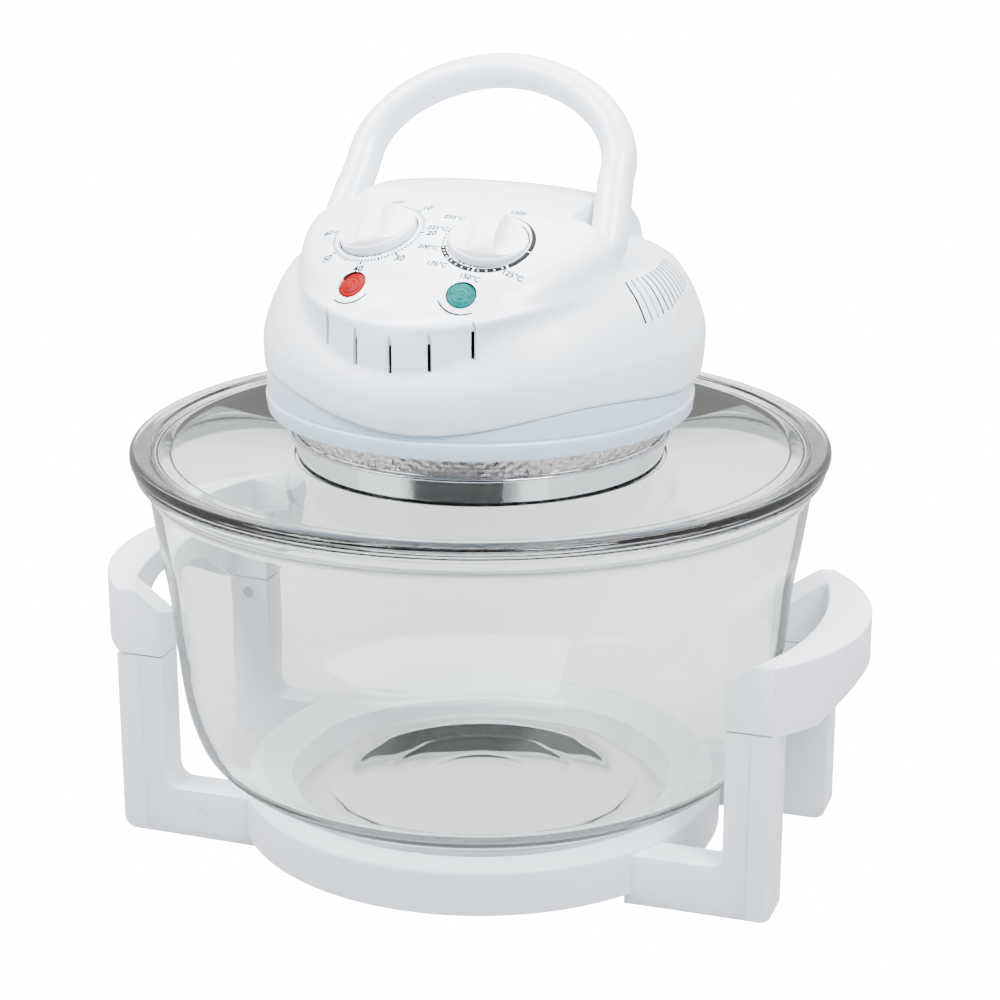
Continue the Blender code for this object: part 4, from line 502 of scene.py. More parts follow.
@made_once
def foil_finish(tree, shader, colour):
    """Dimpled metal band: bright foil with fine pressed pips and a sparkle in its gloss."""
    where, normal = grain(tree, shader, 0.30, 0.08, 160.0, 900.0, 0.15, colour, 0.10)
    pips = node(tree, "ShaderNodeTexVoronoi", Vector=where, Scale=520.0)
    pressed = node(tree, "ShaderNodeBump", Strength=0.55, Distance=0.0006, Height=pips.outputs["Distance"],
                   Normal=normal)
    wired(tree, shader, Metallic=0.85, Normal=pressed.outputs["Normal"])


@made_once
def ink_finish(tree, shader, colour):
    """Dull printing ink."""
    wired(tree, shader, Specular_IOR_Level=0.10)
    grain(tree, shader, 0.62, 0.08, 300.0, 2200.0, 0.08, colour, 0.12)


def settings():
    """Sizes of the glass, the head and the stand, the colours, and the stage's settings."""
    scene = bpy.context.scene
    return scene.oven_glass, scene.oven_head, scene.oven_stand, scene.oven_finish, scene.oven_stage


# Shared shape of the head

SKIRT_Z = 0.2258            # lower edge of the skirt at the front
SKIRT_ARCH = 0.0060         # how much higher that edge is at the four corners
SKIRT_TURN = radians(6.0)   # turn of that edge's pattern on the head
HEAD_WALL = 0.0027
FASCIA_BACK_SHARE = 0.2087  # where the raised back begins
SPINE_HALF_SHARE = 0.5262   # half width of the raised back
FORM_Z = 0.2400             # the forms are measured from this place on the axis
RAY_START = np.array([0.0, -0.0220, FORM_Z])
GLAND_Z = 0.2400
PIVOT = (0.0, -0.0100, 0.2960)      # middle between the carry handle's pivots
HALVINGS = 34               # of a ray, to find the skin
DIAL_LINES = ("timer_turn", "temperature_turn")

# Reach front, side, back as shares of the reach, powers in front and behind, heights as shares
SHOULDERS = (
    (0.990, 0.985, 0.985, 1.9, 2.3, 0.000, 0.055, 0.040),
    (1.003, 0.990, 1.022, 1.9, 2.3, 0.088, 0.152, 0.152),
    (1.000, 0.988, 1.032, 1.9, 2.3, 0.190, 0.268, 0.280),
    (0.979, 0.960, 1.004, 1.9, 2.3, 0.253, 0.370, 0.386),
    (0.934, 0.920, 0.957, 1.9, 2.3, 0.311, 0.471, 0.471),
    (0.864, 0.873, 0.907, 1.9, 2.3, 0.375, 0.557, 0.546),
    (0.777, 0.815, 0.835, 1.9, 2.3, 0.440, 0.616, 0.599),
    (0.583, 0.680, 0.680, 1.9, 2.3, 0.525, 0.648, 0.642),
    (0.291, 0.388, 0.388, 1.9, 2.3, 0.621, 0.664, 0.664),
)
CROWN = (
    (0.958, 0.740, 1.000, 2.0, 2.0, 0.109, 0.258, 0.152),
    (0.968, 0.748, 1.015, 2.0, 2.0, 0.233, 0.386, 0.280),
    (0.969, 0.752, 1.010, 2.0, 2.0, 0.344, 0.471, 0.398),
    (0.966, 0.754, 0.990, 2.0, 2.0, 0.456, 0.546, 0.493),
    (0.956, 0.756, 0.961, 2.1, 2.1, 0.509, 0.594, 0.557),
    (0.898, 0.757, 0.922, 2.2, 2.2, 0.552, 0.644, 0.616),
    (0.822, 0.755, 0.864, 2.3, 2.3, 0.635, 0.701, 0.680),
    (0.684, 0.743, 0.748, 2.4, 2.4, 0.744, 0.776, 0.760),
    (0.527, 0.692, 0.592, 2.4, 2.4, 0.833, 0.846, 0.840),
    (0.306, 0.560, 0.369, 2.3, 2.3, 0.923, 0.923, 0.918),
    (0.121, 0.290, 0.155, 2.1, 2.1, 0.970, 0.964, 0.964),
)


def head_matrix():
    """Turn of the head on the lid."""
    return Matrix.Rotation(settings()[1].turn, 4, "Z")


def skirt_edge(turn):
    """Lower edge of the skirt: side height, eased to the front by cos^4 and to the back by cos^2,
    plus an arch sin^2(2t) between them."""
    height = settings()[1].height
    front, side, back = [SKIRT_Z + height * share for share in SHOULDERS[0][5:]]
    turn = np.asarray(turn) - SKIRT_TURN
    ahead = np.cos(turn)
    end = np.where(ahead > 0.0, front, back)
    weight = np.where(ahead > 0.0, np.abs(ahead) ** 4, ahead ** 2)
    return side + (end - side) * weight + SKIRT_ARCH * np.sin(2.0 * turn) ** 2


def lower_of(a, b, blend):
    """Smooth minimum: a quadratic blend where the two differ by less than the blend."""
    part = np.clip(0.5 + 0.5 * (b - a) / blend, 0.0, 1.0)
    return b + (a - b) * part - blend * part * (1.0 - part)


def higher_of(a, b, blend):
    """Smooth maximum."""
    return -lower_of(-a, -b, blend)


class Form:
    """A skinned form as a table: distance from its middle to its skin over azimuth and elevation.

    Each rib has x = side |sin|^(2/p) and y = -end |cos|^(2/p), and a height that eases from side to
    end by |cos|^lift. The ribs are joined by cubics over a smooth pole."""

    def __init__(self, rows, top, lift):
        size = settings()[1]
        table = np.array(rows)
        table[:, :3] *= size.reach
        table[:, 5:] = SKIRT_Z + size.height * table[:, 5:]
        top_z = SKIRT_Z + size.height * top
        pole = np.array([0.0, 0.0, 0.0, *table[-1, 3:5], top_z, top_z, top_z])
        beyond = table[-1].copy()
        beyond[:3] *= -1.0
        table = np.vstack([table, pole, beyond])
        shape = table[:, [0, 1, 2, 5, 6, 7]]
        run = np.concatenate(([0.0], np.cumsum(np.linalg.norm(np.diff(shape, axis=0), axis=1))))
        table = through(table, 220, run, run[-2])
        turn = np.radians(np.arange(0.0, 360.0, 0.5))
        across, ahead = np.abs(np.sin(turn)), np.cos(turn)
        front = ahead > 0.0
        end = np.maximum(np.where(front, table[:, :1], table[:, 2:3]), 1e-6)
        side = np.maximum(table[:, 1:2], 1e-6)
        power = np.where(front, table[:, 3:4], table[:, 4:5])
        end_z = np.where(front, table[:, 5:6], table[:, 7:8])
        ahead = np.abs(ahead)
        flat = ((across / side) ** power + (ahead / end) ** power) ** (-1.0 / power)
        weight = (flat * ahead / end) ** (power / 2.0 * np.where(front, lift, 2.0))
        z = table[:, 6:7] + (end_z - table[:, 6:7]) * weight
        elevation = np.arctan2(z - FORM_Z, flat)
        away = np.hypot(z - FORM_Z, flat)
        self.low, self.step = radians(-20.0), radians(0.5)
        steps = self.low + self.step * np.arange(221)
        columns = [np.interp(steps, elevation[:, j], away[:, j]) for j in range(len(turn))]
        self.table = np.stack(columns, axis=1)

    def outside(self, points):
        """How far points lie outside the skin, along the ray from the form's middle."""
        x, y, z = points[..., 0], points[..., 1], points[..., 2] - FORM_Z
        flat = np.hypot(x, y)
        u = (np.degrees(np.arctan2(x, -y)) * 2.0) % 720.0
        v = np.clip((np.arctan2(z, flat) - self.low) / self.step, 0.0, 219.999)
        i, j = v.astype(int), u.astype(int) % 720
        fv, fu = v - i, u - np.floor(u)
        k = (j + 1) % 720
        t = self.table
        skin_low = t[i, j] * (1.0 - fu) + t[i, k] * fu
        skin_high = t[i + 1, j] * (1.0 - fu) + t[i + 1, k] * fu
        return np.sqrt(flat * flat + z * z) - (skin_low * (1.0 - fv) + skin_high * fv)


class HeadShape:
    """The moulded head as one field, negative inside: shoulders and crown joined by smooth minima,
    the crown without the room beside the raised back. The joint is softer round the right cheek, and
    pockets are sunk beside the back for the handle's feet."""

    def __init__(self):
        self.shoulders = Form(SHOULDERS, 0.669, 4.0)
        self.crown = Form(CROWN, 0.985, 2.0)
        self.reach = settings()[1].reach

    def field(self, points):
        x, y, z = points[..., 0], points[..., 1], points[..., 2]
        shoulders, crown = self.shoulders.outside(points), self.crown.outside(points)
        beside_spine = np.abs(x) - SPINE_HALF_SHARE * self.reach
        room = lower_of(y + FASCIA_BACK_SHARE * self.reach, beside_spine, 0.004)
        crown = higher_of(crown, room, 0.0022)
        turn = np.degrees(np.arctan2(x, -y))
        soft = np.clip((turn - 12.0) / 25.0, 0.0, 1.0) * np.clip((100.0 - turn) / 18.0, 0.0, 1.0)
        soft = soft * soft * (3.0 - 2.0 * soft)
        whole = lower_of(shoulders, crown, 0.0020 + 0.0085 * soft)
        pocket = np.maximum(np.hypot(y - PIVOT[1], z - PIVOT[2]) - 0.0107, 0.0554 - np.abs(x))
        return higher_of(whole, -pocket, 0.0008)

    def along(self, start, ray, near, far):
        """Distance at which rays leave the head, found by halving."""
        low, high = np.full(ray.shape[:-1], near), np.full(ray.shape[:-1], far)
        for _ in range(HALVINGS):
            middle = (low + high) / 2.0
            inside = self.field(start + ray * middle[..., None]) < 0.0
            low, high = np.where(inside, middle, low), np.where(inside, high, middle)
        return (low + high) / 2.0

    def onto(self, points, normal, lift):
        """Points moved along a normal until they lie on the skin, then lifted off it."""
        ray = np.broadcast_to(np.asarray(normal, float), points.shape)
        start = points - ray * 0.020
        return start + ray * (self.along(start, ray, 0.0, 0.045) + lift)[..., None]


def head_columns(count):
    """Azimuths of the grid's columns, closer together where the fascia ends beside the recesses."""
    even = np.arange(count) * 360.0 / count
    edge = 90.0 + np.array([0.12, 0.24, 0.32, 0.40, 0.46, 0.52, 0.58, 0.66, 0.76])
    return np.radians(np.sort(np.concatenate([even, edge, 360.0 - edge])))


def eroded(distance, rows, columns):
    """Smallest value among the neighbours, a few rows and columns around."""
    least = distance.copy()
    for shift in range(-rows, rows + 1):
        moved = distance[np.clip(np.arange(len(distance)) + shift, 0, len(distance) - 1)]
        least = np.minimum(least, moved)
    result = least.copy()
    for shift in range(-columns, columns + 1):
        result = np.minimum(result, np.roll(least, shift, axis=1))
    return result


def head_mesh():
    """Shell over rays from inside: the outer skin lies where they leave the field, the inner skin a wall
    further in."""
    shape, size = HeadShape(), settings()[1]
    turn = head_columns(size.columns)
    flat = xyz(np.sin(turn), -np.cos(turn), 0.0)
    edge = skirt_edge(turn)
    for _ in range(5):
        start = np.tile(RAY_START, (len(turn), 1))
        start[:, 2] = edge
        out = shape.along(start, flat, 0.02, 0.2)
        foot = start + flat * out[:, None]
        edge = skirt_edge(np.arctan2(foot[:, 0], -foot[:, 1]))
    low = np.arctan2(edge - RAY_START[2], out)
    part = np.linspace(0.0, 1.0, size.rows)[:, None]
    rise = low + (pi / 2.0 - low) * (0.82 * part + 0.18 * part * part)
    ray = xyz(np.cos(rise) * flat[:, 0], np.cos(rise) * flat[:, 1], np.sin(rise))
    away = shape.along(RAY_START, ray, 0.015, 0.2)
    away[0] = np.hypot(out, edge - RAY_START[2])
    outer = RAY_START + ray * away[..., None]
    inner_away = eroded(away, 4, 4) - HEAD_WALL
    inner = RAY_START + ray * inner_away[..., None]
    for name in DIAL_LINES:
        centre, axis = dial_place(name)
        from_axis = np.linalg.norm(np.cross(inner - centre, axis), axis=-1)
        near = np.clip((0.030 - from_axis) / 0.008, 0.0, 1.0) * (np.abs((inner - centre) @ axis) < 0.03)
        inner = inner - near[..., None] * 0.0050 * axis
    inner = inner[::4].copy()
    inner[0] = outer[0] - flat * (HEAD_WALL - 0.0004)
    inner[-1] = inner[-1, 0]
    outer[-1] = outer[-1, 0]
    lip = outer[:1].copy()
    lip_edge = lip[0] - flat * 0.0004
    lip_edge[:, 2] -= 0.0002
    grid = np.concatenate([inner[::-1], lip_edge[None], outer[0:1] + [0.0, 0.0, 0.0003], outer[2:]])
    return skin("head_shell", grid)


def dial_place(name):
    """A dial's middle and axis in the head's own frame."""
    back = np.array(head_matrix().inverted())[:3, :3]
    joint = JOINTS[name]
    axis = back @ np.array(joint["axis"])
    return back @ np.array(joint["pos_m"]), axis / np.linalg.norm(axis)


def panel_matrix(centre, normal):
    """Frame on the panel in the head's own frame: Z is the normal and Y runs to the back."""
    normal = Vector(normal).normalized()
    back = Vector((0.0, 1.0, 0.0))
    back = (back - normal * back.dot(normal)).normalized()
    turn = Matrix((back.cross(normal), back, normal)).transposed().to_4x4()
    return Matrix.Translation(Vector(centre)) @ turn


def lens_matrix(side):
    """Frame of one lens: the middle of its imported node, lifted from the middle of its depth to the panel."""
    tilt, azimuth = radians(42.0), radians(17.0)
    normal = Vector((side * sin(tilt) * sin(azimuth), -sin(tilt) * cos(azimuth), cos(tilt)))
    low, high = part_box("red_lens" if side < 0 else "teal_lens")
    middle = head_matrix().inverted() @ ((Vector(low) + Vector(high)) / 2.0)
    return panel_matrix(middle + normal * 0.0021, normal)


# Cutters of the head

def slot_outline(width, height, point):
    """An upright slot whose upper end comes to a point."""
    half = width / 2.0
    return [(-half, 0.0), (half, 0.0), (half, height - point), (half * 0.55, height - point * 0.45),
            (0.0, height), (-half * 0.55, height - point * 0.45), (-half, height - point)]


def fascia_slots(depth, width, height, point, drop=0.0):
    """Five upright slots round the nose, each with a pointed upper end."""
    size, cutters = settings()[1], []
    nose = 0.63 * size.reach
    for share in (-0.341, -0.171, 0.0, 0.171, 0.341):
        side = share * size.reach
        turn = np.arcsin(side / nose)
        back = nose * (1.0 - cos(turn))
        low = SKIRT_Z + 0.276 * size.height + 0.70 * back + drop
        stand = Matrix.Rotation(pi / 2.0, 4, "X")
        where = Matrix.Translation((side, -(0.970 * size.reach - back), low)) @ Matrix.Rotation(turn, 4, "Z")
        cutters.append(prism("slot", slot_outline(width, height, point), -depth, 0.004, where @ stand))
    return cutters


def cheek_vents(depth):
    """A fan of narrow grooves on each cheek, shorter towards the back."""
    size, cutters = settings()[1], []
    for side in (-1, 1):
        for i in range(12):
            part = i / 11.0
            half = (0.0210 + (0.0165 - 0.0210) * part) / 2.0
            height = SKIRT_Z + (0.515 + 0.037 * part) * size.height
            tilt = radians(42.0 + 6.0 * part)
            where = Matrix.Rotation(side * radians(73.0 + 34.0 * part), 4, "Z")
            lift = Matrix.Translation((0.0, -0.862 * size.reach, height))
            where = where @ lift @ Matrix.Rotation(-tilt, 4, "X") @ Matrix.Rotation(pi / 2.0, 4, "X")
            outline = rounded(box_outline(0.00058, half), 0.0005, 4)
            cutters.append(prism("vent", outline, -0.0045, depth, where))
    return cutters


def make_housing():
    """Shell of the head, cut twice: seats, lens holes, slots' lit edges and vents, then what lies in them.
    Faces deep in the skin get a near-black painted shade.
    """
    mesh = head_mesh()
    knob_r = settings()[1].knob_radius
    seats = [panel_matrix(*dial_place(name)) for name in DIAL_LINES]
    lenses = [lens_matrix(side) for side in (-1, 1)]
    first = [prism("seat", disc(knob_r + 0.0007, 96), -0.0030, 0.0120, seat) for seat in seats]
    first += [prism("lens_hole", disc(0.0068, 48), -0.0120, 0.0040, lens) for lens in lenses]
    first += fascia_slots(0.0016, 0.0024, 0.0176, 0.0040)
    first += cheek_vents(0.0045)
    back = Matrix.Translation((0.0, 0.0, GLAND_Z)) @ Matrix.Rotation(-pi / 2.0, 4, "X")
    first.append(prism("gland_hole", disc(0.0064, 40), 0.080, 0.120, back))
    mesh = carved(mesh, "head_shell", first)
    second = fascia_slots(0.0110, 0.0015, 0.0126, 0.0008, 0.0003)
    second += [prism("flange_seat", disc(0.0087, 48), -0.0110, -0.0033, lens) for lens in lenses]
    second += [prism("bore", disc(0.0036, 32), -0.0200, 0.0020, seat) for seat in seats]
    mesh = carved(mesh, "head_shell", second)
    # Faces more than 1.9 mm inside the skin take a near-black painted shade. It stands in for the darkness
    # inside the closed head, whose real inner wall is the same white plastic.
    deep = deep_faces(mesh)
    mesh.transform(head_matrix())
    finish = housing_finish()
    shell = new_piece("head_shell", mesh, finish, "head", 34.0)
    mesh.materials.append(moulded_plastic("shaded inner wall", (0.012, 0.0125, 0.014), 0.6, 0.0, 0.15, 0.0))
    mesh.polygons.foreach_set("material_index", deep)
    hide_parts("head_housing")
    make_pivot_bosses(finish)


def deep_faces(mesh):
    """One for each face that lies deeper in the skin than a slot's lit edge, nought for the others: the faces
    that get the painted shade.
    """
    centres = np.empty(len(mesh.polygons) * 3)
    mesh.polygons.foreach_get("center", centres)
    return (HeadShape().field(centres.reshape(-1, 3)) < -0.0019).astype(np.int32)


def make_pivot_bosses(finish):
    """Round bosses between the raised back and the handle's feet."""
    meshes, near, far, radius = [], 0.0528, 0.0569, 0.0080
    outline = rounded([(0.0, near), (radius, near), (radius, far), (0.0, far)], 0.0006, 4, False)
    for side in (-1, 1):
        where = Matrix.Translation(PIVOT) @ Matrix.Rotation(side * pi / 2.0, 4, "Y")
        meshes.append(turned("boss", outline, 64, head_matrix() @ where, False))
    new_piece("pivot_bosses", joined("pivot_bosses", meshes), finish, "head")


# Dials and prints

KNOB_FLAT = ((0.00, 1.60), (0.24, 1.10), (0.285, 0.72), (0.34, 0.50), (0.42, 0.375), (0.55, 0.285),
             (0.75, 0.215), (1.00, 0.170))      # shares of the radius and of the height
KNOB_TURN = radians(11.0)
TIMER_STOPS = ((-11.0, 0), (40.0, 10), (92.0, 20), (139.0, 30), (183.0, 40), (231.0, 50), (274.0, 60))
TIMER_TICKS = ((10, 1.05, 0.0197, 0.0226), (5, 0.95, 0.0199, 0.0219), (1, 0.95, 0.0201, 0.0214))
TEMPERATURE_STOPS = ((131.0, 125, 0.0250), (175.0, 150, 0.0243), (217.0, 175, 0.0256),
                     (246.0, 200, 0.0264), (277.0, 225, 0.0264), (300.0, 250, 0.0262))
PRINT_LIFT, PRINT_BODY = 0.00006, 0.0001


def knob_mesh(name, matrix):
    """Height = smooth minimum of a dome H (1 - r^2)^0.55 and a flat that falls away from the grip,
    over circles from the rim to the middle, with a rounded rim and a straight wall below."""
    size = settings()[1]
    radius, height, rim, foot = size.knob_radius, size.knob_height, 0.0014, -0.0027
    turn = full_turn(240)
    reach = radius * np.sin(np.linspace(pi / 2.0, 0.0, 110))
    reach = reach[reach < radius - 0.0004]
    x, y = reach[:, None] * np.sin(turn), reach[:, None] * np.cos(turn)
    share = np.hypot(x, y) / radius
    dome = rim + (height - rim) * np.maximum(1.0 - share ** 2, 0.0) ** 0.55
    flat_line = through(KNOB_FLAT, 400)
    flat = height * np.interp(np.abs(x) / radius, flat_line[:, 0], flat_line[:, 1])
    top = xyz(x, y, lower_of(dome, flat, 0.0007))
    edge = rounded([(radius - 0.0009, rim + 0.0002), (radius, rim), (radius, foot), (0.0, foot)],
                   [0.0, 0.0005, 0.0003, 0.0], 5, False)
    wall = xyz(edge[:, :1] * np.sin(turn), edge[:, :1] * np.cos(turn), edge[:, 1:])
    blend = np.clip((share[:8] * radius - (radius - 0.0018)) / 0.0014, 0.0, 1.0)
    top[:8, :, 2] = top[:8, :, 2] * (1.0 - blend) + wall[0, :, 2] * blend
    top[-1] = [0.0, 0.0, top[-1, 0, 2]]
    return skin(name, place(np.concatenate([top[::-1], wall]), matrix @ Matrix.Rotation(KNOB_TURN, 4, "Z")))


def round_dial(turn, radius):
    """Place at a turn in degrees, clockwise from the back, and a radius."""
    return radius * sin(radians(turn)), radius * cos(radians(turn))


def dial_marks(marks):
    """Flat marks round a dial, each a patch between two turns and two radii that doesn't close round."""
    patches = []
    for start, end, inner, outer in marks:
        steps = max(2, int(abs(end - start) / 2.0) + 2)
        turn = np.radians(np.linspace(start, end, steps))
        inner, outer = np.broadcast_to(inner, steps), np.broadcast_to(outer, steps)
        radius = inner + (outer - inner) * np.linspace(0.0, 1.0, 3)[:, None]
        patches.append((xyz(radius * np.sin(turn), radius * np.cos(turn), 0.0), False))
    return patches


def dot_patch(turn, radius, size, steps):
    """A round dot: circles from its middle outward, which close round."""
    around = full_turn(steps)
    reach = np.array([0.0, 0.6, 1.0])[:, None] * size
    x, y = round_dial(turn, radius)
    return xyz(x + reach * np.cos(around), y + reach * np.sin(around), 0.0), True


def word_patch(text, size, where, lean):
    """Numbers as flat faces: points and faces, with their middle at a place."""
    curve = bpy.data.curves.new("words", "FONT")
    curve.body = text
    curve.size = size
    curve.align_x, curve.align_y = "CENTER", "CENTER"
    curve.resolution_u = 3
    curve.offset = 0.028 * size
    item = bpy.data.objects.new("words", curve)
    bpy.context.scene.collection.objects.link(item)
    mesh = bpy.data.meshes.new_from_object(item.evaluated_get(bpy.context.evaluated_depsgraph_get()))
    bpy.data.objects.remove(item)
    points, faces = mesh_arrays(mesh)
    points[:, 0] += lean * points[:, 1]
    points[:, :2] += where
    return points, faces


def print_mesh(name, patches, words, matrix):
    """All marks of one dial in one mesh, laid on the panel along the dial's axis."""
    points, faces, first = [], [], 0
    for patch, around in patches:
        points.append(patch.reshape(-1, 3))
        faces += [face for face in grid_faces(grid_numbers(patch, first), around, False) if len(face)]
        first += len(points[-1])
    for its_points, its_faces in words:
        points.append(its_points)
        faces += [face + first for face in its_faces]
        first += len(its_points)
    normal = np.array(matrix)[:3, 2]
    laid = HeadShape().onto(place(np.concatenate(points), matrix), normal, PRINT_LIFT)
    turned_up = []
    for face in faces:
        a, b, c = laid[face[:, 0]], laid[face[:, 1]], laid[face[:, -1]]
        up = np.einsum("ij,j->i", np.cross(b - a, c - a), normal) > 0.0
        turned_up += [face[up], face[~up][:, ::-1]]
    laid, turned_up = unused_dropped(place(laid, head_matrix()), [face for face in turned_up if len(face)])
    return mesh_of(name, laid, turned_up)


def printed(name, patches, words, matrix, finish):
    """Marks as a piece of thin ink."""
    mesh = print_mesh(name, patches, words, matrix)
    piece = new_piece(name, mesh, finish, "head", 60.0)
    body = piece.modifiers.new("body", "SOLIDIFY")
    body.thickness, body.offset = PRINT_BODY, -1.0


def timer_print(finish):
    """Minute ticks round the timer, longer at each five and ten minutes, with plain numbers."""
    minutes, stops = [stop[1] for stop in TIMER_STOPS], [stop[0] for stop in TIMER_STOPS]
    marks = []
    for minute, turn in enumerate(np.interp(np.arange(0, 61), minutes, stops)):
        half, inner, outer = next(tick[1:] for tick in TIMER_TICKS if minute % tick[0] == 0)
        if minute not in (1, 2):
            marks.append((turn - half, turn + half, inner, outer))
    marks.append((-1.6, -0.2, 0.0199, 0.0222))
    words = []
    for turn, number in TIMER_STOPS[1:]:
        radius = 0.0253 if number in (30, 40) else 0.0258
        words.append(word_patch(str(number), 0.0046, round_dial(turn, radius), 0.10))
    words.append(word_patch("OFF", 0.0034, (0.0005, 0.0247), 0.10))
    printed("timer_print", dial_marks(marks), words, panel_matrix(*dial_place("timer_turn")), finish)


def temperature_print(finish):
    """A band that swells from off, dotted bands and dots round the temperature dial, with plain numbers."""
    outer, band = 0.0209, 0.0022
    inner = outer - band
    width = np.interp(np.linspace(2.0, 92.0, 47), (2.0, 35.0, 62.0, 92.0), (0.0003, 0.0008, 0.0019, band))
    patches = dial_marks([(2.0, 92.0, outer - width, outer), (94.0, 129.5, inner, outer)])
    for start, end in ((132.5, 173.5), (176.5, 215.5), (218.5, 245.0)):
        patches += dotted_band(start, end, inner, outer)
    patches += [dot_patch(turn, outer - 0.0008, 0.00055, 12) for turn in np.arange(250.0, 300.0, 6.2)]
    patches += dial_marks([(299.0, 300.6, inner, outer + 0.0004),
                           (275.8, 277.0, outer - 0.0004, outer + 0.0010)])
    patches.append(dot_patch(-12.0, outer - 0.0003, 0.00135, 24))
    words = [word_patch("%d°C" % number, 0.0038, round_dial(turn, radius), 0.06)
             for turn, number, radius in TEMPERATURE_STOPS]
    words.append(word_patch("OFF", 0.0042, (0.0034, 0.0246), 0.06))
    printed("temperature_print", patches, words, panel_matrix(*dial_place("temperature_turn")), finish)


def dotted_band(start, end, inner, outer):
    """A band with four round windows: strips above and below them and bridges between."""
    middle, half = (inner + outer) / 2.0, 0.00042
    lanes = [(start, end, inner, middle - half), (start, end, middle + half, outer)]
    step = (end - start) / 4.0
    hole = np.degrees(half / middle)
    edge = start
    for k in range(4):
        centre = start + step * (k + 0.5)
        lanes.append((edge, centre - hole, middle - half, middle + half))
        edge = centre + hole
    lanes.append((edge, end, middle - half, middle + half))
    return dial_marks(lanes)


def make_dials():
    """Both dials, each placed at its own joint and hung on its knob's body, and the prints round them and
    under the lenses.
    """
    colours = settings()[3]
    finish = moulded_plastic("white satin knob", colours.knob, 0.33, 0.15)
    for joint, name, node_name in (("timer_turn", "timer_dial", "timer_knob"),
                                   ("temperature_turn", "temperature_dial", "temperature_knob")):
        matrix = head_matrix() @ panel_matrix(*dial_place(joint))
        knob = new_piece(name, knob_mesh(name, matrix), finish, node_name, 50.0)
        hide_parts(node_name)
    ink = ink_finish("grey dial ink", colours.ink)
    timer_print(ink)
    temperature_print(ink)
    lens_marks(ink)


def lens_marks(finish):
    """A thin smile-shaped line under each lens."""
    turn = np.radians(np.linspace(-48.0, 48.0, 40))
    radius, half = 0.0110, 0.00042
    across = radius + np.array([-half, 0.0, half])[:, None]
    across = radius + (across - radius) * (0.35 + 0.65 * np.cos(turn * 1.6) ** 0.5)
    patch = xyz(across * np.sin(turn), -across * np.cos(turn) + 0.0012, 0.0)
    for side, name in ((-1, "left_lens_mark"), (1, "right_lens_mark")):
        printed(name, [(patch, False)], [], lens_matrix(side), finish)


def make_lenses():
    """Domed lens: dome height (1 - r^2)^0.5 with concentric moulded rings, a step and a flange below."""
    colours = settings()[3]
    r = np.linspace(0.0, 0.0064, 60)
    dome = 0.0016 * np.sqrt(np.maximum(1.0 - (r / 0.0066) ** 2, 0.0))
    rings = 0.00010 * np.cos(2.0 * pi * r / 0.0021) * (r < 0.0056)
    below = [(0.0065, -0.0004), (0.0065, -0.0034), (0.0084, -0.0034), (0.0084, -0.0046), (0.0062, -0.0046),
             (0.0062, -0.0058), (0.0, -0.0058)]
    profile = np.vstack([np.column_stack([r, dome + rings]), below])
    bore, edge, low, high = 0.00655, 0.00705, -0.0006, 0.00022
    bezel = rounded([(bore, low), (bore, high), (edge, high), (edge, low)], 0.00015, 3)
    for side, word, colour in ((-1, "red", colours.red), (1, "teal", colours.teal)):
        name, node_name = word + "_cap", word + "_lens"
        where = head_matrix() @ lens_matrix(side)
        finish = lens_finish(word + " clear plastic", colour)
        cap = new_piece(name, turned(name, profile, 96, where, False), finish, "head", 40.0)
        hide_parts(node_name)
        # The bezel takes the lens's own finish at a quarter of its colour, as painted shade round the lens's
        # edge.
        rim_shade_finish = lens_finish(word + " dark rim", [0.25 * c for c in colour])
        rim = turned(name + "_bezel", bezel, 96, where)
        new_piece(name + "_bezel", rim, rim_shade_finish, "head")


# Carry handle

LIMB_FOOT, LIMB_TOP, LIMB_HEIGHT = 0.0663, 0.0630, 0.0363       # half widths and height of the limbs
HANDLE_HEIGHT = 0.0833
HANDLE_LEAN = radians(35.5)


def handle_line(count):
    """Centre line in the handle's plane: limbs that draw in by a smooth step, and an arch
    x = side cos^(2/1.9), z = limb + rise sin^(2/1.9)."""
    limb = np.linspace(0.0, 1.0, 24, endpoint=False)
    lean_in = (3.0 - 2.0 * limb) * limb * limb
    limbs = np.column_stack([LIMB_FOOT + (LIMB_TOP - LIMB_FOOT) * lean_in, LIMB_HEIGHT * limb])
    turn, power = np.linspace(0.0, pi / 2.0, 50), 2.0 / 1.9
    arch = np.column_stack([LIMB_TOP * np.maximum(np.cos(turn), 0.0) ** power,
                            LIMB_HEIGHT + (HANDLE_HEIGHT - LIMB_HEIGHT) * np.sin(turn) ** power])
    half = np.vstack([limbs, arch])
    half[-1, 0] = 0.0
    return through(np.vstack([half, half[-2::-1] * [-1.0, 1.0]]), count)


def make_carry_handle():
    """Round section carried along the handle's line, thicker at the feet, with ball ends."""
    line = handle_line(220)
    step = np.gradient(line, axis=0)
    step /= np.linalg.norm(step, axis=1)[:, None]
    radius = 0.0082 + 0.0006 * np.clip(1.0 - line[:, 1] / LIMB_HEIGHT, 0.0, 1.0)
    part = np.sin(np.linspace(0.0, pi / 2.0, 14))[1:]
    low = line[0] - step[0] * radius[0] * part[::-1, None]
    high = line[-1] + step[-1] * radius[-1] * part[:, None]
    centre = np.vstack([low, line, high])
    way = np.vstack([np.tile(step[0], (13, 1)), step, np.tile(step[-1], (13, 1))])
    end = np.sqrt(np.maximum(1.0 - part ** 2, 0.0))
    size = np.concatenate([radius[0] * end[::-1], radius, radius[-1] * end])
    turn = full_turn(56)
    across = size[:, None] * np.cos(turn)
    grid = xyz(centre[:, :1] - way[:, 1:] * across, size[:, None] * np.sin(turn),
               centre[:, 1:] + way[:, :1] * across)
    grid[0], grid[-1] = grid[0].mean(axis=0), grid[-1].mean(axis=0)
    where = Matrix.Translation(PIVOT) @ Matrix.Rotation(-HANDLE_LEAN, 4, "X")
    mesh = skin("arched_handle", place(grid, head_matrix() @ where))
    handle = new_piece("arched_handle", mesh, housing_finish(), "carry_handle", 60.0)
    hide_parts("carry_handle")


# Glass

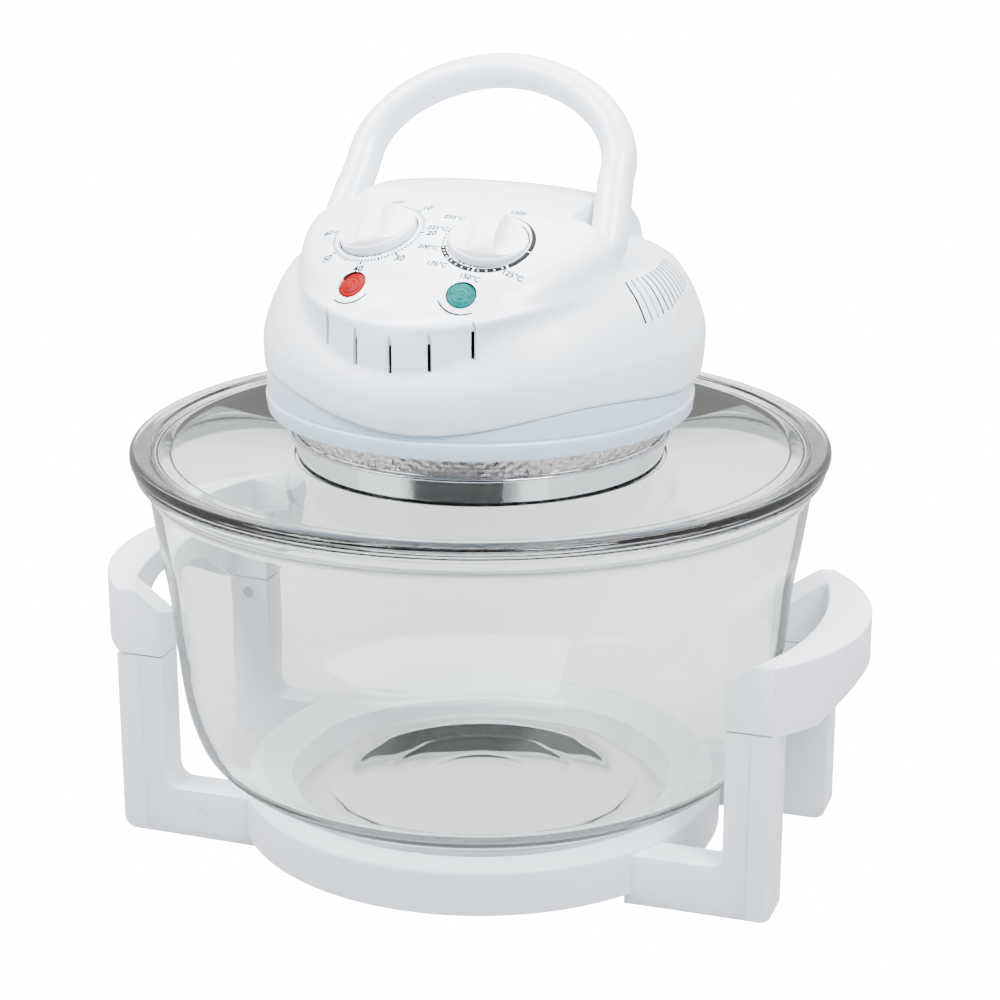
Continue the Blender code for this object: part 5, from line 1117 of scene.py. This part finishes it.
BOWL_LINE = (
    (0.455, 0.000), (0.560, 0.025), (0.658, 0.069), (0.718, 0.104), (0.776, 0.142), (0.812, 0.168),
    (0.839, 0.197), (0.852, 0.225), (0.863, 0.256), (0.899, 0.474), (0.917, 0.647), (0.942, 0.792),
    (0.963, 0.936),
)


def bowl_outer():
    """The bowl's outer face from the base upward, a smooth line through measured places."""
    size = settings()[0]
    scale = np.array([size.rim_radius, size.top - size.base])
    return through(np.array(BOWL_LINE) * scale + [0.0, size.base], 110)


def make_bowl():
    """Turned bowl: outer line, round bead, the outer line shifted inward by the wall, and a floor
    with low pressed rings exp(-((r - c) / w)^2)."""
    size = settings()[0]
    outer = bowl_outer()
    inner = beside(outer, size.wall)
    floor_z = size.base + 0.0050
    inner = inner[inner[:, 1] > floor_z + 0.0015]
    mouth = inner[-1, 0]
    r = np.linspace(inner[0, 0] - 0.006, 0.0, 90)
    rings = sum(0.00012 * np.exp(-((r - c) / 0.0022) ** 2) for c in (0.026, 0.046, 0.064))
    floor = np.column_stack([r, floor_z + rings + 0.0003 * (r / r[0]) ** 6])
    rim, top = size.rim_radius, size.top
    bead = rounded([outer[-1], (rim - 0.0028, top - 0.0062), (rim, top - 0.0046), (rim, top),
                    (mouth + 0.0002, top), inner[-1]], [0.0, 0.004, 0.0022, 0.0024, 0.0018, 0.0], 8, False)
    profile = np.vstack([[0.0, size.base + 0.0008], [outer[0, 0] - 0.012, size.base + 0.0008],
                         [outer[0, 0] - 0.009, size.base], outer[:-1], bead, inner[-2::-1], floor])
    mesh = turned("clear_bowl", profile, 224, None, False)
    finish = glass_finish("clear pressed glass", size.tint)
    bowl = new_piece("clear_bowl", mesh, finish, "bowl", 50.0)
    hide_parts("glass_bowl")


def make_lid():
    """Turned lid: round bead, a step line, a disc that sinks to the collar's foot, and a locating lip."""
    size = settings()[0]
    rim = size.lid_radius
    low, disc_z, hole_z = size.top + 0.0003, size.top + 0.0062, size.top - 0.0004
    lip = 0.963 * size.rim_radius - size.wall - 0.0006
    hole = settings()[1].reach - 0.0156
    corners = [(lip + 0.0006, low), (rim, low), (rim, disc_z), (0.1551, disc_z), (0.1543, disc_z - 0.0011),
               (hole, hole_z), (hole, hole_z - 0.0040), (lip - 0.0060, disc_z - 0.0056),
               (lip - 0.0060, low - 0.0014), (lip, low - 0.0014)]
    radii = [0.0003, 0.0024, 0.0025, 0.0010, 0.0010, 0.0010, 0.0012, 0.0006, 0.0006, 0.0006]
    mesh = turned("clear_lid", rounded(corners, radii, 7), 224)
    finish = glass_finish("clear lid glass", size.tint)
    lid = new_piece("clear_lid", mesh, finish, "head", 50.0)
    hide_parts("glass_lid")


# Collar, dimpled band and ring

def make_collar():
    """Spun collar: rolled flange, tapering wall and an inner lip, turned round the axis."""
    hole = settings()[1].reach - 0.0142
    wall, flange, foot, lip = hole - 0.0010, hole + 0.0015, hole - 0.0023, hole - 0.0071
    top, low, sheet = 0.2034, 0.1889, 0.0008
    corners = [(wall, top - 0.0016), (flange, top - 0.0016), (flange, top), (wall - sheet, top),
               (foot - sheet, low + sheet), (lip, low + sheet), (lip, low), (foot, low)]
    radii = [0.0003, 0.0007, 0.0007, 0.0006, 0.0008, 0.0003, 0.0003, 0.0014]
    mesh = turned("bright_collar", rounded(corners, radii, 7), 224)
    chrome = metal_finish("polished collar steel", (0.62, 0.64, 0.66), 0.075, 0.02, 0.015, 260.0)
    collar = new_piece("bright_collar", mesh, chrome, "head", 40.0)
    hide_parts("metal_collar")


def make_dimpled_band():
    """Flared band whose face carries rows of long pips: height |sin| of the height times a
    raised cosine of the turn, every second row shifted by half a pip."""
    hole = settings()[1].reach - 0.0142
    low, high, sheet, lip = 0.2037, 0.2169, 0.0008, 0.0070
    foot, top = hole - 0.0013, hole + 0.0002
    rows, steps, count = 58, 912, 76
    part = np.linspace(0.0, 1.0, rows)[:, None]
    turn = full_turn(steps)[None, :]
    band = part * 6.0
    shift = (np.floor(band) % 2) * pi
    pip = np.abs(np.sin(band * pi)) ** 0.7 * np.clip(0.5 + 0.9 * np.cos(count * turn + shift), 0.0, 1.0)
    radius = foot + (top - foot) * part - 0.0004 + 0.00034 * pip
    wall = xyz(radius * np.cos(turn), radius * np.sin(turn), low + (high - low) * part)
    profile = [(lip, high), (lip, high - sheet), (top - 0.0012, high - sheet), (foot - 0.0012, low + sheet),
               (foot - 0.0060, low + sheet), (foot - 0.0060, low)]
    mesh = skin("dimpled_band", np.concatenate([wall, turned_grid(profile, steps)]), True)
    foil = foil_finish("dimpled foil", (0.62, 0.57, 0.57))
    band_piece = new_piece("dimpled_band", mesh, foil, "head", 70.0)
    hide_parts("heat_shield")


def make_pale_ring():
    """Ring with a soft groove; above the groove its heights are stretched up to the arched skirt."""
    colours, reach = settings()[3], settings()[1].reach
    foot, wide, groove_r, rim = reach - 0.0034, reach - 0.0026, reach - 0.0038, reach - 0.0032
    low, floor = 0.2142, 0.2172
    groove = low + 0.0083
    outer = rounded([(foot - 0.0022, low), (foot, low), (wide, groove - 0.0026), (wide, groove - 0.0009),
                     (groove_r, groove), (rim, groove + 0.0010), (rim, SKIRT_Z), (rim - 0.0022, SKIRT_Z)],
                    [0.0, 0.0011, 0.0030, 0.0006, 0.0008, 0.0006, 0.0005, 0.0], 6, False)
    rest = [(rim - 0.0022, 0.2194), (0.0070, 0.2194), (0.0070, floor), (foot - 0.0022, floor)]
    profile = np.vstack([outer, rest])
    grid = turned_grid(profile, 288)
    turn = np.arctan2(grid[..., 0], -grid[..., 1])
    edge = skirt_edge(turn) - 0.0006
    start = groove + 0.0010
    above = (profile[:, 1] > start)[:, None]
    stretched = start + (grid[..., 2] - start) / (SKIRT_Z - start) * (edge - start)
    grid[..., 2] = np.where(above, stretched, grid[..., 2])
    mesh = skin("pale_ring", place(grid, head_matrix()), True)
    finish = moulded_plastic("pale blue plastic", colours.ring, 0.30, 0.2)
    ring = new_piece("pale_ring", mesh, finish, "head", 40.0)
    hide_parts("base_ring")


# Stand and side handles

LEG_INNER, LEG_OUTER, LEG_DEPTH = 0.1385, 0.1625, 0.0178
BAR_TOP, LEG_TOP = 0.0250, 0.0917
MOULD_WALL = 0.0024         # of the legs, the bars and the side handles
TRAY_LOW, TRAY_TOP = 0.0920, 0.1250
TRAY_GAP, TRAY_REACH, TRAY_RADIUS = 0.0035, 0.0220, 0.0955      # to the bowl's rim, outward, and of its edge
CORNERS = ((-1, -1), (-1, 1), (1, -1), (1, 1))


def lofted(name, rings):
    """Outlines of equal count joined in order, with the first and last closed flat."""
    grid = np.asarray(rings, float)
    index = np.arange(grid.shape[0] * grid.shape[1]).reshape(grid.shape[:2])
    quads = grid_faces(index, True, False)[0]
    return put_mesh(name, grid.reshape(-1, 3), [quads, index[:1, ::-1], index[-1:]])


def edge_steps(near, far, edge):
    """Places along a depth with the inset that rounds both ends by a quarter circle."""
    turn = np.linspace(0.0, pi / 2.0, 5)
    inset, shift = edge * (1.0 - np.sin(turn)), edge * (1.0 - np.cos(turn))
    first, last = np.column_stack([near + shift, inset]), np.column_stack([far - shift, inset])
    return np.concatenate([first, last[::-1]])


def leg_outline(inset, low_bar, low_leg, top, start=0.0930, hollow=False):
    """L of one bar and leg seen from the front, drawn in by an inset."""
    left, right, bar = LEG_INNER + inset, LEG_OUTER - inset, BAR_TOP - inset
    fillet, corner = 0.0070 + inset, max(0.0062 - inset, 0.0004)
    turn = np.linspace(-pi / 2.0, 0.0, 8)
    outer = [right - corner + corner * np.cos(turn), low_leg + corner + corner * np.sin(turn)]
    back = np.linspace(0.0, -pi / 2.0, 8)
    inner = np.column_stack([left - fillet + fillet * np.cos(back), bar + fillet + fillet * np.sin(back)])
    first = [(start, low_bar)] + ([(left, low_bar), (left, low_leg)] if hollow else [])
    return np.vstack([first, np.transpose(outer), [(right, top), (left, top)], inner, [(start, bar)]])


def upright(name, outlines_at, corner):
    """Outlines at their depths, put in one quarter of the stand."""
    return lofted(name, [xyz(corner[0] * line[:, 0], corner[1] * y, line[:, 1]) for y, line in outlines_at])


def bowl_room():
    """Room for the bowl: its outline shifted outward, met by a cone under the side handles' inner edge."""
    size = settings()[0]
    loose, snug = beside(bowl_outer(), -0.0010), beside(bowl_outer(), -0.0003)
    z = np.linspace(size.base - 0.0003, 0.1290, 120)
    wall = np.where(z < 0.0380, np.interp(z, snug[:, 1], snug[:, 0]), np.interp(z, loose[:, 1], loose[:, 0]))
    cone = size.rim_radius + TRAY_GAP - (TRAY_TOP - z) * 1.286
    r = np.maximum(wall, cone)
    profile = np.vstack([[0.0, z[0]], np.column_stack([r, z]), [0.0, z[-1]]])
    return turned("room", profile, 224, None, False)


def make_stand():
    """Seat ring, four bars and four hollow legs welded in one moulding, less the room of the bowl."""
    size, rim = settings()[2], settings()[0].rim_radius
    ring_r, bore, low, top = 0.7209 * rim, 0.5828 * rim, 0.0050, 0.0310
    far, near = size.half_depth, size.half_depth - LEG_DEPTH
    inside, outside = bore + MOULD_WALL, ring_r - MOULD_WALL
    corners = [(bore, low), (inside, low), (inside, 0.0216), (outside, 0.0240), (outside, low),
               (ring_r, low), (ring_r, 0.0264), (ring_r - 0.0060, top), (bore, top)]
    radii = [0.0005, 0.0005, 0.0010, 0.0010, 0.0005, 0.0006, 0.0030, 0.0030, 0.0010]
    name = "moulded_stand"
    whole = turned(name, rounded(corners, radii, 5), 224)
    steps = edge_steps(near, far, size.edge)
    outlines = [(y, leg_outline(inset, 0.0, inset, LEG_TOP)) for y, inset in steps]
    for corner in CORNERS:
        whole = welded(whole, upright("leg", outlines, corner), name)
    hollow = leg_outline(MOULD_WALL, -0.0040, 0.0030, 0.0960, 0.0954, True)
    core = [(y, hollow) for y in (near + MOULD_WALL, far - MOULD_WALL)]
    for cutters in ([upright("core", core, corner) for corner in CORNERS], [bowl_room()], mould_grooves()):
        whole = carved(whole, name, cutters)
    stand = new_piece(name, whole, stand_finish(), "stand", 30.0)
    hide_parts("stand_frame")


def mould_grooves():
    """Hairline mould grooves down the legs' faces and a round ejector mark on one bar."""
    far, half, top = settings()[2].half_depth, 0.00022, 0.0900
    upright_plane = Matrix.Rotation(pi / 2.0, 4, "X")
    outline = [(-half, -0.004), (half, -0.004), (half, top), (-half, top)]
    places = [Matrix.Translation((side * 0.1500, face * far, 0.0)) for side in (-1, 1) for face in (-1, 1)]
    cutters = [prism("groove", outline, -half, half, place_at @ upright_plane) for place_at in places]
    ring = rounded([(0.0024, -0.0003), (0.0030, -0.0003), (0.0030, 0.0010), (0.0024, 0.0010)], 0.0001, 2)
    where = Matrix.Translation((-0.1205, -far, 0.0125)) @ upright_plane
    cutters.append(turned("ejector", ring, 40, where))
    return cutters


def crescent(side, inset, reach_y, z):
    """Outline of a side handle at a height: the inner edge round the bowl, the outer round its own centre."""
    inner_r, outer_r = settings()[0].rim_radius + TRAY_GAP + inset, TRAY_RADIUS - inset
    centre = settings()[0].rim_radius + TRAY_GAP + TRAY_REACH - TRAY_RADIUS
    inner_turn, outer_turn = np.arcsin(reach_y / inner_r), np.arcsin(reach_y / outer_r)
    out, back = np.linspace(-outer_turn, outer_turn, 64), np.linspace(inner_turn, -inner_turn, 64)
    outer = np.column_stack([centre + outer_r * np.cos(out), outer_r * np.sin(out)])
    inner = np.column_stack([inner_r * np.cos(back), inner_r * np.sin(back)])
    plan = np.vstack([outer, inner]) * [side, 1.0]
    return xyz(*plan.T, z)


def arch_cutter(side, arch_z, far):
    """Arched space under a wall of the side handle, an arc between the legs."""
    half, end = settings()[2].half_depth - LEG_DEPTH - MOULD_WALL, TRAY_LOW
    rise = arch_z - end
    radius = (half * half + rise * rise) / (2.0 * rise)
    turn = np.linspace(pi / 2.0 + np.arcsin(half / radius), pi / 2.0 - np.arcsin(half / radius), 48)
    arc = np.column_stack([radius * np.cos(turn), arch_z - radius + radius * np.sin(turn)])
    outline = np.vstack([[(-half, end - 0.004)], arc, [(half, end - 0.004)]])
    return lofted("arch", [xyz(side * x, *outline.T) for x in (0.1345, far)])


def leg_cap(side, face):
    """Cap of a side handle over one leg: its plan drawn in a little at its foot and its upper edge."""
    far = settings()[2].half_depth
    near, inner, outer = far - LEG_DEPTH, 0.1380, 0.1630
    plan = np.array([(inner, near - 0.0005), (outer, near - 0.0005), (outer, far - 0.0035),
                     (0.1595, far + 0.0005), (inner, far + 0.0005)])
    plan = rounded(plan * [side, face], [0.0008, 0.0008, 0.0016, 0.0016, 0.0008], 4)
    middle = plan.mean(axis=0)
    levels = ((TRAY_LOW + 0.0003, 0.0005), (TRAY_LOW + 0.0008, 0.0), (TRAY_TOP - 0.0012, 0.0),
              (TRAY_TOP - 0.0006, 0.0003), (TRAY_TOP - 0.0003, 0.0011))
    drawn_in = [(middle + (plan - middle) * (1.0 - inset / 0.011), z) for z, inset in levels]
    return lofted("cap", [xyz(*line.T, z) for line, z in drawn_in])


def make_side_handles():
    """Crescent trays turned upside down between the legs, each with a cap over either leg."""
    rim, far = settings()[0].rim_radius, settings()[2].half_depth
    near, edge = far - LEG_DEPTH, 0.0011
    levels = [(TRAY_LOW, 0.0)] + [(TRAY_TOP - edge * (1.0 - sin(t)), edge * (1.0 - cos(t)))
                                  for t in np.linspace(0.0, pi / 2.0, 6)]
    for side, word in ((-1, "left"), (1, "right")):
        name = word + "_tray_handle"
        whole = lofted(name, [crescent(side, inset, far, z) for z, inset in levels])
        for face in (-1, 1):
            whole = welded(whole, leg_cap(side, face), name)
        tray = lofted("tray", [crescent(side, MOULD_WALL, near - MOULD_WALL, z)
                               for z in (TRAY_LOW - 0.004, TRAY_TOP - MOULD_WALL)])
        arches = (arch_cutter(side, 0.1030, 0.1945), arch_cutter(side, 0.1130, rim + 0.0071))
        for cutter in (tray, *arches, bowl_room()):
            whole = carved(whole, name, [cutter])
        handle = new_piece(name, whole, stand_finish(), "stand", 30.0)
        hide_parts(word + "_side_handle")


# Inside of the head

def give(finish, *names):
    """A CAD node keeps its shape and takes a finish."""
    for name in names:
        for slot in frame["nodes"][name].material_slots:
            slot.material = finish


def numbered(stem):
    """Names of four like nodes."""
    return ["%s_%d" % (stem, i) for i in (1, 2, 3, 4)]


def dress_inside():
    """Give every CAD node that stays its finish."""
    give(metal_finish("pressed reflector sheet", (0.72, 0.72, 0.73), 0.16, 0.05, 0.06, 320.0),
         "reflector_dish")
    give(metal_finish("bright steel", (0.62, 0.62, 0.63), 0.26, 0.05, 0.08, 900.0),
         "guard_grille", "motor_shaft", "timer_spindle", "thermostat_spindle", "handle_pin_left",
         "handle_pin_right", *numbered("base_screw"), *numbered("leg_screw"))
    give(metal_finish("cast motor metal", (0.42, 0.42, 0.43), 0.42, 0.08, 0.3, 500.0),
         "motor", "fan_impeller", "cooling_fan", "timer_body", "thermal_cutout")
    give(moulded_plastic("dark moulded plastic", (0.030, 0.031, 0.034), 0.45, 0.0, 0.15, 0.0),
         "thermostat_body", "terminal_block", "safety_switch")
    give(rubber_finish("black gland rubber", (0.022, 0.022, 0.024)), "cord_gland")
    give(rubber_finish("white lamp ceramic", (0.78, 0.76, 0.71), 0.55),
         "lamp_holder_left", "lamp_holder_right")
    give(glass_finish("lamp quartz", (0.94, 0.95, 0.96), 0.03, 1.46, 0.05), "halogen_lamp")
    give(glass_finish("pilot lamp glass", (0.97, 0.86, 0.72), 0.05, 1.50, 0.05),
         "indicator_lamp_left", "indicator_lamp_right")


# Stage

CAMERA_PLACE = (0.3753, -1.0760, 0.5331)
CAMERA_DOWN, CAMERA_TURN = 17.90, 18.77         # in degrees
CAMERA_LENS, CAMERA_SENSOR = 90.4, 36.0         # in millimetres
FLOOR_DEPTH = 0.02


def area_light(name, place_at, width, power, colour):
    """A square softbox that looks at the oven's middle."""
    light = bpy.data.lights.new(name, "AREA")
    light.shape = "RECTANGLE"
    light.size, light.size_y = width, width
    light.energy, light.color = power, colour
    item = bpy.data.objects.new(name, light)
    item.location = place_at
    item.rotation_euler = (Vector((0.0, 0.0, 0.18)) - Vector(place_at)).to_track_quat("-Z", "Y").to_euler()
    bpy.context.scene.collection.objects.link(item)


@made_once
def floor_finish(tree, shader):
    """White paper that glows for the camera and faintly behind glass, and lets mirrored rays through."""
    size = settings()[4]
    ray = tree.nodes.new("ShaderNodeLightPath").outputs
    in_camera = reckoned(tree, "MULTIPLY", ray["Is Camera Ray"], size.glow)
    behind_glass = reckoned(tree, "MINIMUM", ray["Transmission Depth"], 1.0)
    glow = reckoned(tree, "MULTIPLY_ADD", behind_glass, size.glass_glow, in_camera)
    grain(tree, shader, 0.75, 0.05, 3.0, 300.0, 0.04, (0.27, 0.27, 0.268), 0.004)
    wired(tree, shader, Specular_IOR_Level=0.15, Emission_Color=(1.0, 1.0, 1.0, 1.0), Emission_Strength=glow)
    whole = mixed(tree, ray["Glossy Depth"], shader, tree.nodes.new("ShaderNodeBsdfTransparent"))
    wired(tree, tree.nodes["Material Output"], Surface=whole.outputs[0])


def make_floor():
    """Wide flat floor on a grid of radius and turn, finer near the middle."""
    r = settings()[4].floor * np.linspace(0.0, 1.0, 24) ** 2
    grid = turned_grid(np.column_stack([r[::-1], np.zeros(24)]), 96)
    under = grid[:1] - [0.0, 0.0, FLOOR_DEPTH]
    bottom = np.zeros((1, 96, 3)) - [0.0, 0.0, FLOOR_DEPTH]
    mesh = skin("studio_floor", np.concatenate([bottom, under, grid]))
    floor = bpy.data.objects.new("studio_floor", mesh)
    bpy.context.scene.collection.objects.link(floor)
    mesh.materials.append(floor_finish("white studio paper"))
    mesh.shade_smooth()


def softened(tree, value, low, high, at_low, at_high):
    """A value eased from one level to another between two limits."""
    span = node(tree, "ShaderNodeMapRange", Value=value, From_Min=low, From_Max=high, To_Min=at_low,
                To_Max=at_high)
    span.interpolation_type = "SMOOTHSTEP"
    return span.outputs["Result"]


def toward(tree, direction, azimuth):
    """Share of a direction that points to an azimuth, counted from the front to the right."""
    dot = tree.nodes.new("ShaderNodeVectorMath")
    dot.operation = "DOT_PRODUCT"
    dot.inputs[1].default_value = (sin(radians(azimuth)), -cos(radians(azimuth)), 0.0)
    tree.links.new(direction, dot.inputs[0])
    return dot.outputs["Value"]


def studio_surround():
    """White surround. Mirrored rays see a dark side in front and a slightly dimmer one low behind."""
    size = settings()[4]
    world = bpy.data.worlds.new("white studio")
    bpy.context.scene.world = world
    world.use_nodes = True
    tree = world.node_tree
    direction = tree.nodes.new("ShaderNodeTexCoord").outputs["Generated"]
    upward = node(tree, "ShaderNodeSeparateXYZ", Vector=direction).outputs["Z"]
    front = softened(tree, toward(tree, direction, size.room_azimuth), 0.64, 0.80, 1.0, size.room_dark)
    behind = softened(tree, toward(tree, direction, 189.0), 0.40, 0.55, 0.0, 1.0)
    below = softened(tree, upward, -0.22, -0.05, 1.0, 0.0)
    back = softened(tree, reckoned(tree, "MULTIPLY", behind, below), 0.0, 1.0, 1.0, 0.85)
    level = reckoned(tree, "MULTIPLY", front, back)
    strength = softened(tree, level, 0.0, 1.0, 0.0, size.world * 2.9)
    as_light = node(tree, "ShaderNodeBackground", Color=(*size.light_colour, 1.0), Strength=size.world)
    mirrored = node(tree, "ShaderNodeBackground", Color=(0.96, 0.98, 1.0, 1.0), Strength=strength)
    seen = wired(tree, tree.nodes["Background"], Color=(1.0, 1.0, 1.0, 1.0), Strength=size.backdrop)
    ray = tree.nodes.new("ShaderNodeLightPath").outputs
    whole = mixed(tree, ray["Is Camera Ray"], mixed(tree, ray["Glossy Depth"], as_light, mirrored), seen)
    wired(tree, tree.nodes["World Output"], Surface=whole.outputs[0])


def make_stage():
    """Floor, surround, three softboxes and the camera of the photograph."""
    key = settings()[4].key
    make_floor()
    studio_surround()
    area_light("front left softbox", (-1.2, -0.9, 2.1), 1.3, key * 0.80, (0.98, 0.99, 1.0))
    area_light("right softbox", (1.3, -1.0, 2.1), 1.0, key * 0.75, (0.97, 0.985, 1.0))
    area_light("top softbox", (0.0, 0.5, 2.2), 1.6, key * 0.70, (1.0, 1.0, 1.0))
    camera = bpy.data.cameras.new("photo camera")
    camera.lens, camera.sensor_width = CAMERA_LENS, CAMERA_SENSOR
    camera.clip_start, camera.clip_end = 0.05, 50.0
    item = bpy.data.objects.new("photo camera", camera)
    item.location = CAMERA_PLACE
    item.rotation_euler = (radians(90.0 - CAMERA_DOWN), 0.0, radians(CAMERA_TURN))
    bpy.context.scene.collection.objects.link(item)
    bpy.context.scene.camera = item


# Operators, panel and run

class OVEN_OT_stage(bpy.types.Operator):
    """Lay the floor, hang the lights and set the camera"""
    bl_idname, bl_label = "oven.stage", "Stage"

    def execute(self, context):
        make_stage()
        return {"FINISHED"}


class OVEN_OT_glass(bpy.types.Operator):
    """Press the glass bowl and its lid"""
    bl_idname, bl_label = "oven.glass", "Glass bowl and lid"

    def execute(self, context):
        make_bowl()
        make_lid()
        return {"FINISHED"}


class OVEN_OT_collar(bpy.types.Operator):
    """Spin the collar and press the dimpled band above it"""
    bl_idname, bl_label = "oven.collar", "Collar and dimpled band"

    def execute(self, context):
        make_collar()
        make_dimpled_band()
        return {"FINISHED"}


class OVEN_OT_ring(bpy.types.Operator):
    """Mould the pale ring under the head"""
    bl_idname, bl_label = "oven.ring", "Pale ring"

    def execute(self, context):
        make_pale_ring()
        return {"FINISHED"}


class OVEN_OT_housing(bpy.types.Operator):
    """Mould the head housing with its slots, vents and seats"""
    bl_idname, bl_label = "oven.housing", "Head housing"

    def execute(self, context):
        make_housing()
        return {"FINISHED"}


class OVEN_OT_dials(bpy.types.Operator):
    """Mould the two dials and print the scales"""
    bl_idname, bl_label = "oven.dials", "Dials and scales"

    def execute(self, context):
        make_dials()
        return {"FINISHED"}


class OVEN_OT_lenses(bpy.types.Operator):
    """Mould the red and the teal lens"""
    bl_idname, bl_label = "oven.lenses", "Indicator lenses"

    def execute(self, context):
        make_lenses()
        return {"FINISHED"}


class OVEN_OT_carry_handle(bpy.types.Operator):
    """Sweep the carry handle"""
    bl_idname, bl_label = "oven.carry_handle", "Carry handle"

    def execute(self, context):
        make_carry_handle()
        return {"FINISHED"}


class OVEN_OT_stand(bpy.types.Operator):
    """Mould the stand and its two side handles"""
    bl_idname, bl_label = "oven.stand", "Stand and side handles"

    def execute(self, context):
        make_stand()
        make_side_handles()
        return {"FINISHED"}


class OVEN_OT_inside(bpy.types.Operator):
    """Give the heater, the fans and the works their finishes"""
    bl_idname, bl_label = "oven.inside", "Works inside the head"

    def execute(self, context):
        dress_inside()
        return {"FINISHED"}


OPERATORS = (OVEN_OT_stage, OVEN_OT_glass, OVEN_OT_collar, OVEN_OT_ring, OVEN_OT_housing, OVEN_OT_dials,
             OVEN_OT_lenses, OVEN_OT_carry_handle, OVEN_OT_stand, OVEN_OT_inside)
GROUPS = ((OvenGlassSizes, "oven_glass"), (OvenHeadSizes, "oven_head"), (OvenStandSizes, "oven_stand"),
          (OvenFinishes, "oven_finish"), (OvenStageSettings, "oven_stage"))


class OVEN_PT_panel(bpy.types.Panel):
    """Sizes, colours and pieces of the oven"""
    bl_idname, bl_label = "OVEN_PT_panel", "Halogen oven"
    bl_space_type, bl_region_type, bl_category = "VIEW_3D", "UI", "Oven"

    def draw(self, context):
        for group, key in GROUPS:
            box = self.layout.box()
            for name in group.__annotations__:
                box.prop(getattr(context.scene, key), name)
        for operator in OPERATORS:
            self.layout.operator(operator.bl_idname)


def register():
    for group, key in GROUPS:
        bpy.utils.register_class(group)
        setattr(bpy.types.Scene, key, bpy.props.PointerProperty(type=group))
    for kind in (*OPERATORS, OVEN_PT_panel):
        bpy.utils.register_class(kind)


def unregister():
    for kind in (OVEN_PT_panel, *reversed(OPERATORS)):
        bpy.utils.unregister_class(kind)
    for group, key in reversed(GROUPS):
        delattr(bpy.types.Scene, key)
        bpy.utils.unregister_class(group)


def main():
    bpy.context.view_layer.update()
    register()
    for operator in OPERATORS:
        group, name = operator.bl_idname.split(".")
        getattr(getattr(bpy.ops, group), name)()


if __name__ == "__main__":
    main()
